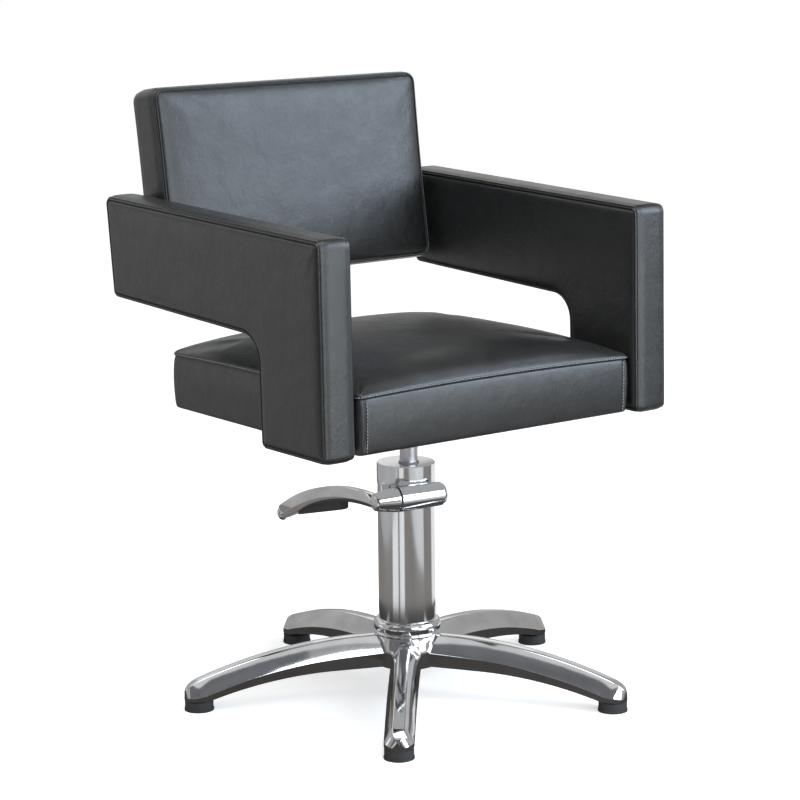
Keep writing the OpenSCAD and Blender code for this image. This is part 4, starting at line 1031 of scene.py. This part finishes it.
floor_material, tree, out = new_material("white_paper_sweep")
place = add(tree, "ShaderNodeTexCoord").outputs["Object"]
fleck = add(tree, "ShaderNodeTexNoise", {"Vector": place, "Scale": 3.0,
    "Detail": 2.0}).outputs["Fac"]
white = add(tree, "ShaderNodeValToRGB", {"Fac": fleck}, stops=[(0.3, "#f4f4f4"), (0.7, "#f7f7f7")])
paper = add(tree, "ShaderNodeBsdfDiffuse", {"Color": white.outputs["Color"]})
lift = add(tree, "ShaderNodeMath", {0: seen_directly(tree), 1: 0.5}, operation="MULTIPLY")
glow = add(tree, "ShaderNodeEmission", {"Color": linear("#ffffff"), "Strength": lift.outputs[0]})
both = add(tree, "ShaderNodeAddShader", {0: paper.outputs["BSDF"], 1: glow.outputs["Emission"]})
tree.links.new(both.outputs["Shader"], out.inputs["Surface"])
reach = 30.0
floor = make_piece("white_floor", [(-reach, -reach, 0), (reach, -reach, 0), (reach, reach, 0),
    (-reach, reach, 0)], [(0, 1, 2, 3)], floor_material)
floor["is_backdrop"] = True


def soft_lamp(name, place, aim, width, height, power, code):
    """Area lamp that points at a place."""
    data = bpy.data.lights.new(name, "AREA")
    data.shape = "RECTANGLE"
    data.size, data.size_y = width, height
    data.energy = power
    data.color = linear(code)[:3]
    lamp = bpy.data.objects.new(name, data)
    lamp.location = place
    lamp.visible_camera = False
    lamp.rotation_euler = (Vector(place) - Vector(aim)).to_track_quat("Z", "Y").to_euler()
    bpy.context.scene.collection.objects.link(lamp)
    print(name, power, "W")


soft_lamp("cool_front_lamp", (1.55, -1.65, 1.6), (0, 0, 0.8), 1.4, 1.8, 50, "#d3e3f6")
soft_lamp("cool_low_lamp", (0.49, -1.75, 0.42), (0, 0, 0.5), 0.78, 0.75, 6.2, "#e6f0f2")
soft_lamp("left_fill_lamp", (-2.3, 2.6, 0.5), (0, 0, 0.5), 1.2, 0.6, 1.6, "#f4f6ff")
soft_lamp("front_lamp", (-0.45, -2.6, 1.25), (0, 0, 0.7), 1.1, 1.1, 24, "#dde9f2")
soft_lamp("warm_rear_lamp", (1.9, 2.3, 1.5), (0, 0, 0.55), 1.2, 1.2, 1.2, "#fff6e8")
soft_lamp("top_lamp", (-0.5, -0.5, 4.0), (0, 0, 0.4), 2.5, 2.5, 50, "#ffffff")

# %% [markdown]
# ## What the chrome and the leatherette show
# Chrome has no look of its own: it shows the room. A plain white room makes it vanish against a
# white ground, so photographers stand grey cards and white strips round it. These are seen in
# reflections only. The grey walls and floor give the covers their depth too, because most of
# what the eye sees on black leatherette is a reflection. One small glowing card under the seat is
# painted light: it stands in for the light from the floor, for the top of the lever housing to
# show.

# %% Cards
def mirror_only(piece):
    """Shows a piece in reflections and nowhere else."""
    piece.visible_camera = False
    piece.visible_diffuse = False
    piece.visible_transmission = False
    piece.visible_volume_scatter = False
    piece.visible_shadow = False
    piece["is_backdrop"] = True


def card_material(name, light, dark):
    """A card that glows at its own shade, slightly uneven."""
    material, tree, out = new_material(name)
    place = add(tree, "ShaderNodeTexCoord").outputs["Object"]
    cloud = add(tree, "ShaderNodeTexNoise", {"Vector": place, "Scale": 1.2,
        "Detail": 2.0}).outputs["Fac"]
    shade = add(tree, "ShaderNodeValToRGB", {"Fac": cloud}, stops=[(0.35, dark), (0.65, light)])
    shine = add(tree, "ShaderNodeEmission", {"Color": shade.outputs["Color"], "Strength": 1.0})
    tree.links.new(shine.outputs["Emission"], out.inputs["Surface"])
    return material


floor_card = card_material("grey_brown_card", "#8c8885", "#807c78")
dark_card = card_material("dark_card", "#4c4a48", "#403e3c")
wall_card = card_material("light_grey_card", "#b9b9b9", "#a6a6a6")
deep_card = card_material("deep_grey_card", "#75767a", "#6a6b6f")
middle_card = card_material("middle_grey_card", "#b4b5b6", "#a8a9aa")
pale_card = card_material("pale_grey_card", "#dcdedf", "#d0d2d3")
white_card = card_material("white_card", "#f7f8fa", "#ecedee")


def around(azimuth, distance, height):
    """Point at an azimuth from the front (-Y) towards the right (+X)."""
    a = math.radians(azimuth)
    return (distance * math.sin(a), -distance * math.cos(a), height)


def upright_card(name, azimuth, spread, distance, low, high, material):
    """Card that stands round the chair, from one azimuth to another."""
    left, right = azimuth - spread / 2, azimuth + spread / 2
    corners = [around(left, distance, low), around(right, distance, low),
        around(right, distance, high), around(left, distance, high)]
    mirror_only(make_piece(name, corners, [(0, 1, 2, 3)], material))


def lying_card(name, azimuth, spread, near, far, height, material):
    """Card that lies round the chair at a height, as part of a ring."""
    steps = max(int(spread / 10), 1)
    turns = [azimuth - spread / 2 + spread * i / steps for i in range(steps + 1)]
    points = [around(t, near, height) for t in turns] + [around(t, far, height) for t in turns]
    faces = [(i, i + 1, i + steps + 2, i + steps + 1) for i in range(steps)]
    mirror_only(make_piece(name, points, faces, material))


def lying_sheet(name, azimuth, near, far, left, right, height, material):
    """Rectangular sheet on the floor whose near edge lies square to an azimuth."""
    corners = ((left, near), (right, near), (right, far), (left, far))
    points = [Vector((w, -d, height)) for w, d in corners]
    turn = Matrix.Rotation(math.radians(azimuth), 3, "Z")
    mirror_only(make_piece(name, [turn @ q for q in points], [(0, 1, 2, 3)], material))
print([m.name for m in bpy.data.materials if m.name.endswith("_card")])

# %% Grey room
room_radius = 4.5
room_height = 5.5
band_radius = room_radius - 0.1
for k in range(12):
    shade_card = deep_card if k >= 9 else wall_card
    upright_card(f"grey_wall_{k}", 30 * k, 30, room_radius, 0, room_height, shade_card)
upright_card("pale_wall_band", 143, 50, band_radius, 1.15, 2.9, pale_card)
upright_card("white_rear_band", 190, 50, room_radius - 0.15, 1.9, 4.4, white_card)
upright_card("pale_front_wall", -40, 110, band_radius, 2.6, room_height, pale_card)
upright_card("dark_upper_wall", 143, 70, band_radius, 3.0, 5.6, dark_card)
lying_card("dark_ceiling", 130, 140, 0.3, room_radius, room_height, dark_card)
print("room:", room_radius, "m round,", room_height, "m high")

# %% Sheets and strips on the floor
card_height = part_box("seat_cover")[0].z - 1 * mm
sheet_height = 0.9 * mm
# Painted light: this glowing card under the seat stands in for the light from the floor, seen in
# the top of the lever housing.
lying_card("painted_floor_light_under_seat", 0, 360, 0.02, 0.2, card_height, middle_card)
lying_card("grey_floor", 0, 360, 0.0, room_radius, 0.3 * mm, floor_card)
# Painted shadow: the dark disc round the foot stands for the chair's own shadow on the floor, as
# the chrome shows it.
lying_card("painted_chair_shadow_disc", 0, 360, 0.0, 0.5, 1.2 * mm, dark_card)
for k, (azimuth, spread) in enumerate(((-82, 24), (-55, 18), (112, 62)), 1):
    lying_card(f"white_floor_strip_{k}", azimuth, spread, 0.36, 1.95, 0.6 * mm, white_card)
lying_sheet("white_sheet_left", -125, 0.9, 3.4, -1.8, 1.8, sheet_height, middle_card)
lying_sheet("white_sheet_right", 35, 0.73, 3.4, -1.5, 0.0, sheet_height, pale_card)

# %% World
world = bpy.data.worlds.new("white_studio")
bpy.context.scene.world = world
world.use_nodes = True
tree = world.node_tree
tree.nodes.clear()
out = add(tree, "ShaderNodeOutputWorld")
strength = add(tree, "ShaderNodeMapRange", {"Value": seen_directly(tree), "To Min": 0.55,
    "To Max": 1.0})
sky = add(tree, "ShaderNodeBackground", {"Color": linear("#ffffff"),
    "Strength": strength.outputs["Result"]})
tree.links.new(sky.outputs["Background"], out.inputs["Surface"])
bpy.context.scene.view_settings.view_transform = "Standard"
print("view:", bpy.context.scene.view_settings.view_transform)

# %% [markdown]
# ## Sizes
# The dressed chair has to stay as big as the solids that it was built on. Both boxes are printed,
# so that they can be set side by side.

# %% Print the sizes and finish
visual_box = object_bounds()
for word, box in (("solids", cad_box), ("dressed", visual_box)):
    print(word, [[round(x, 3) for x in corner] for corner in box])
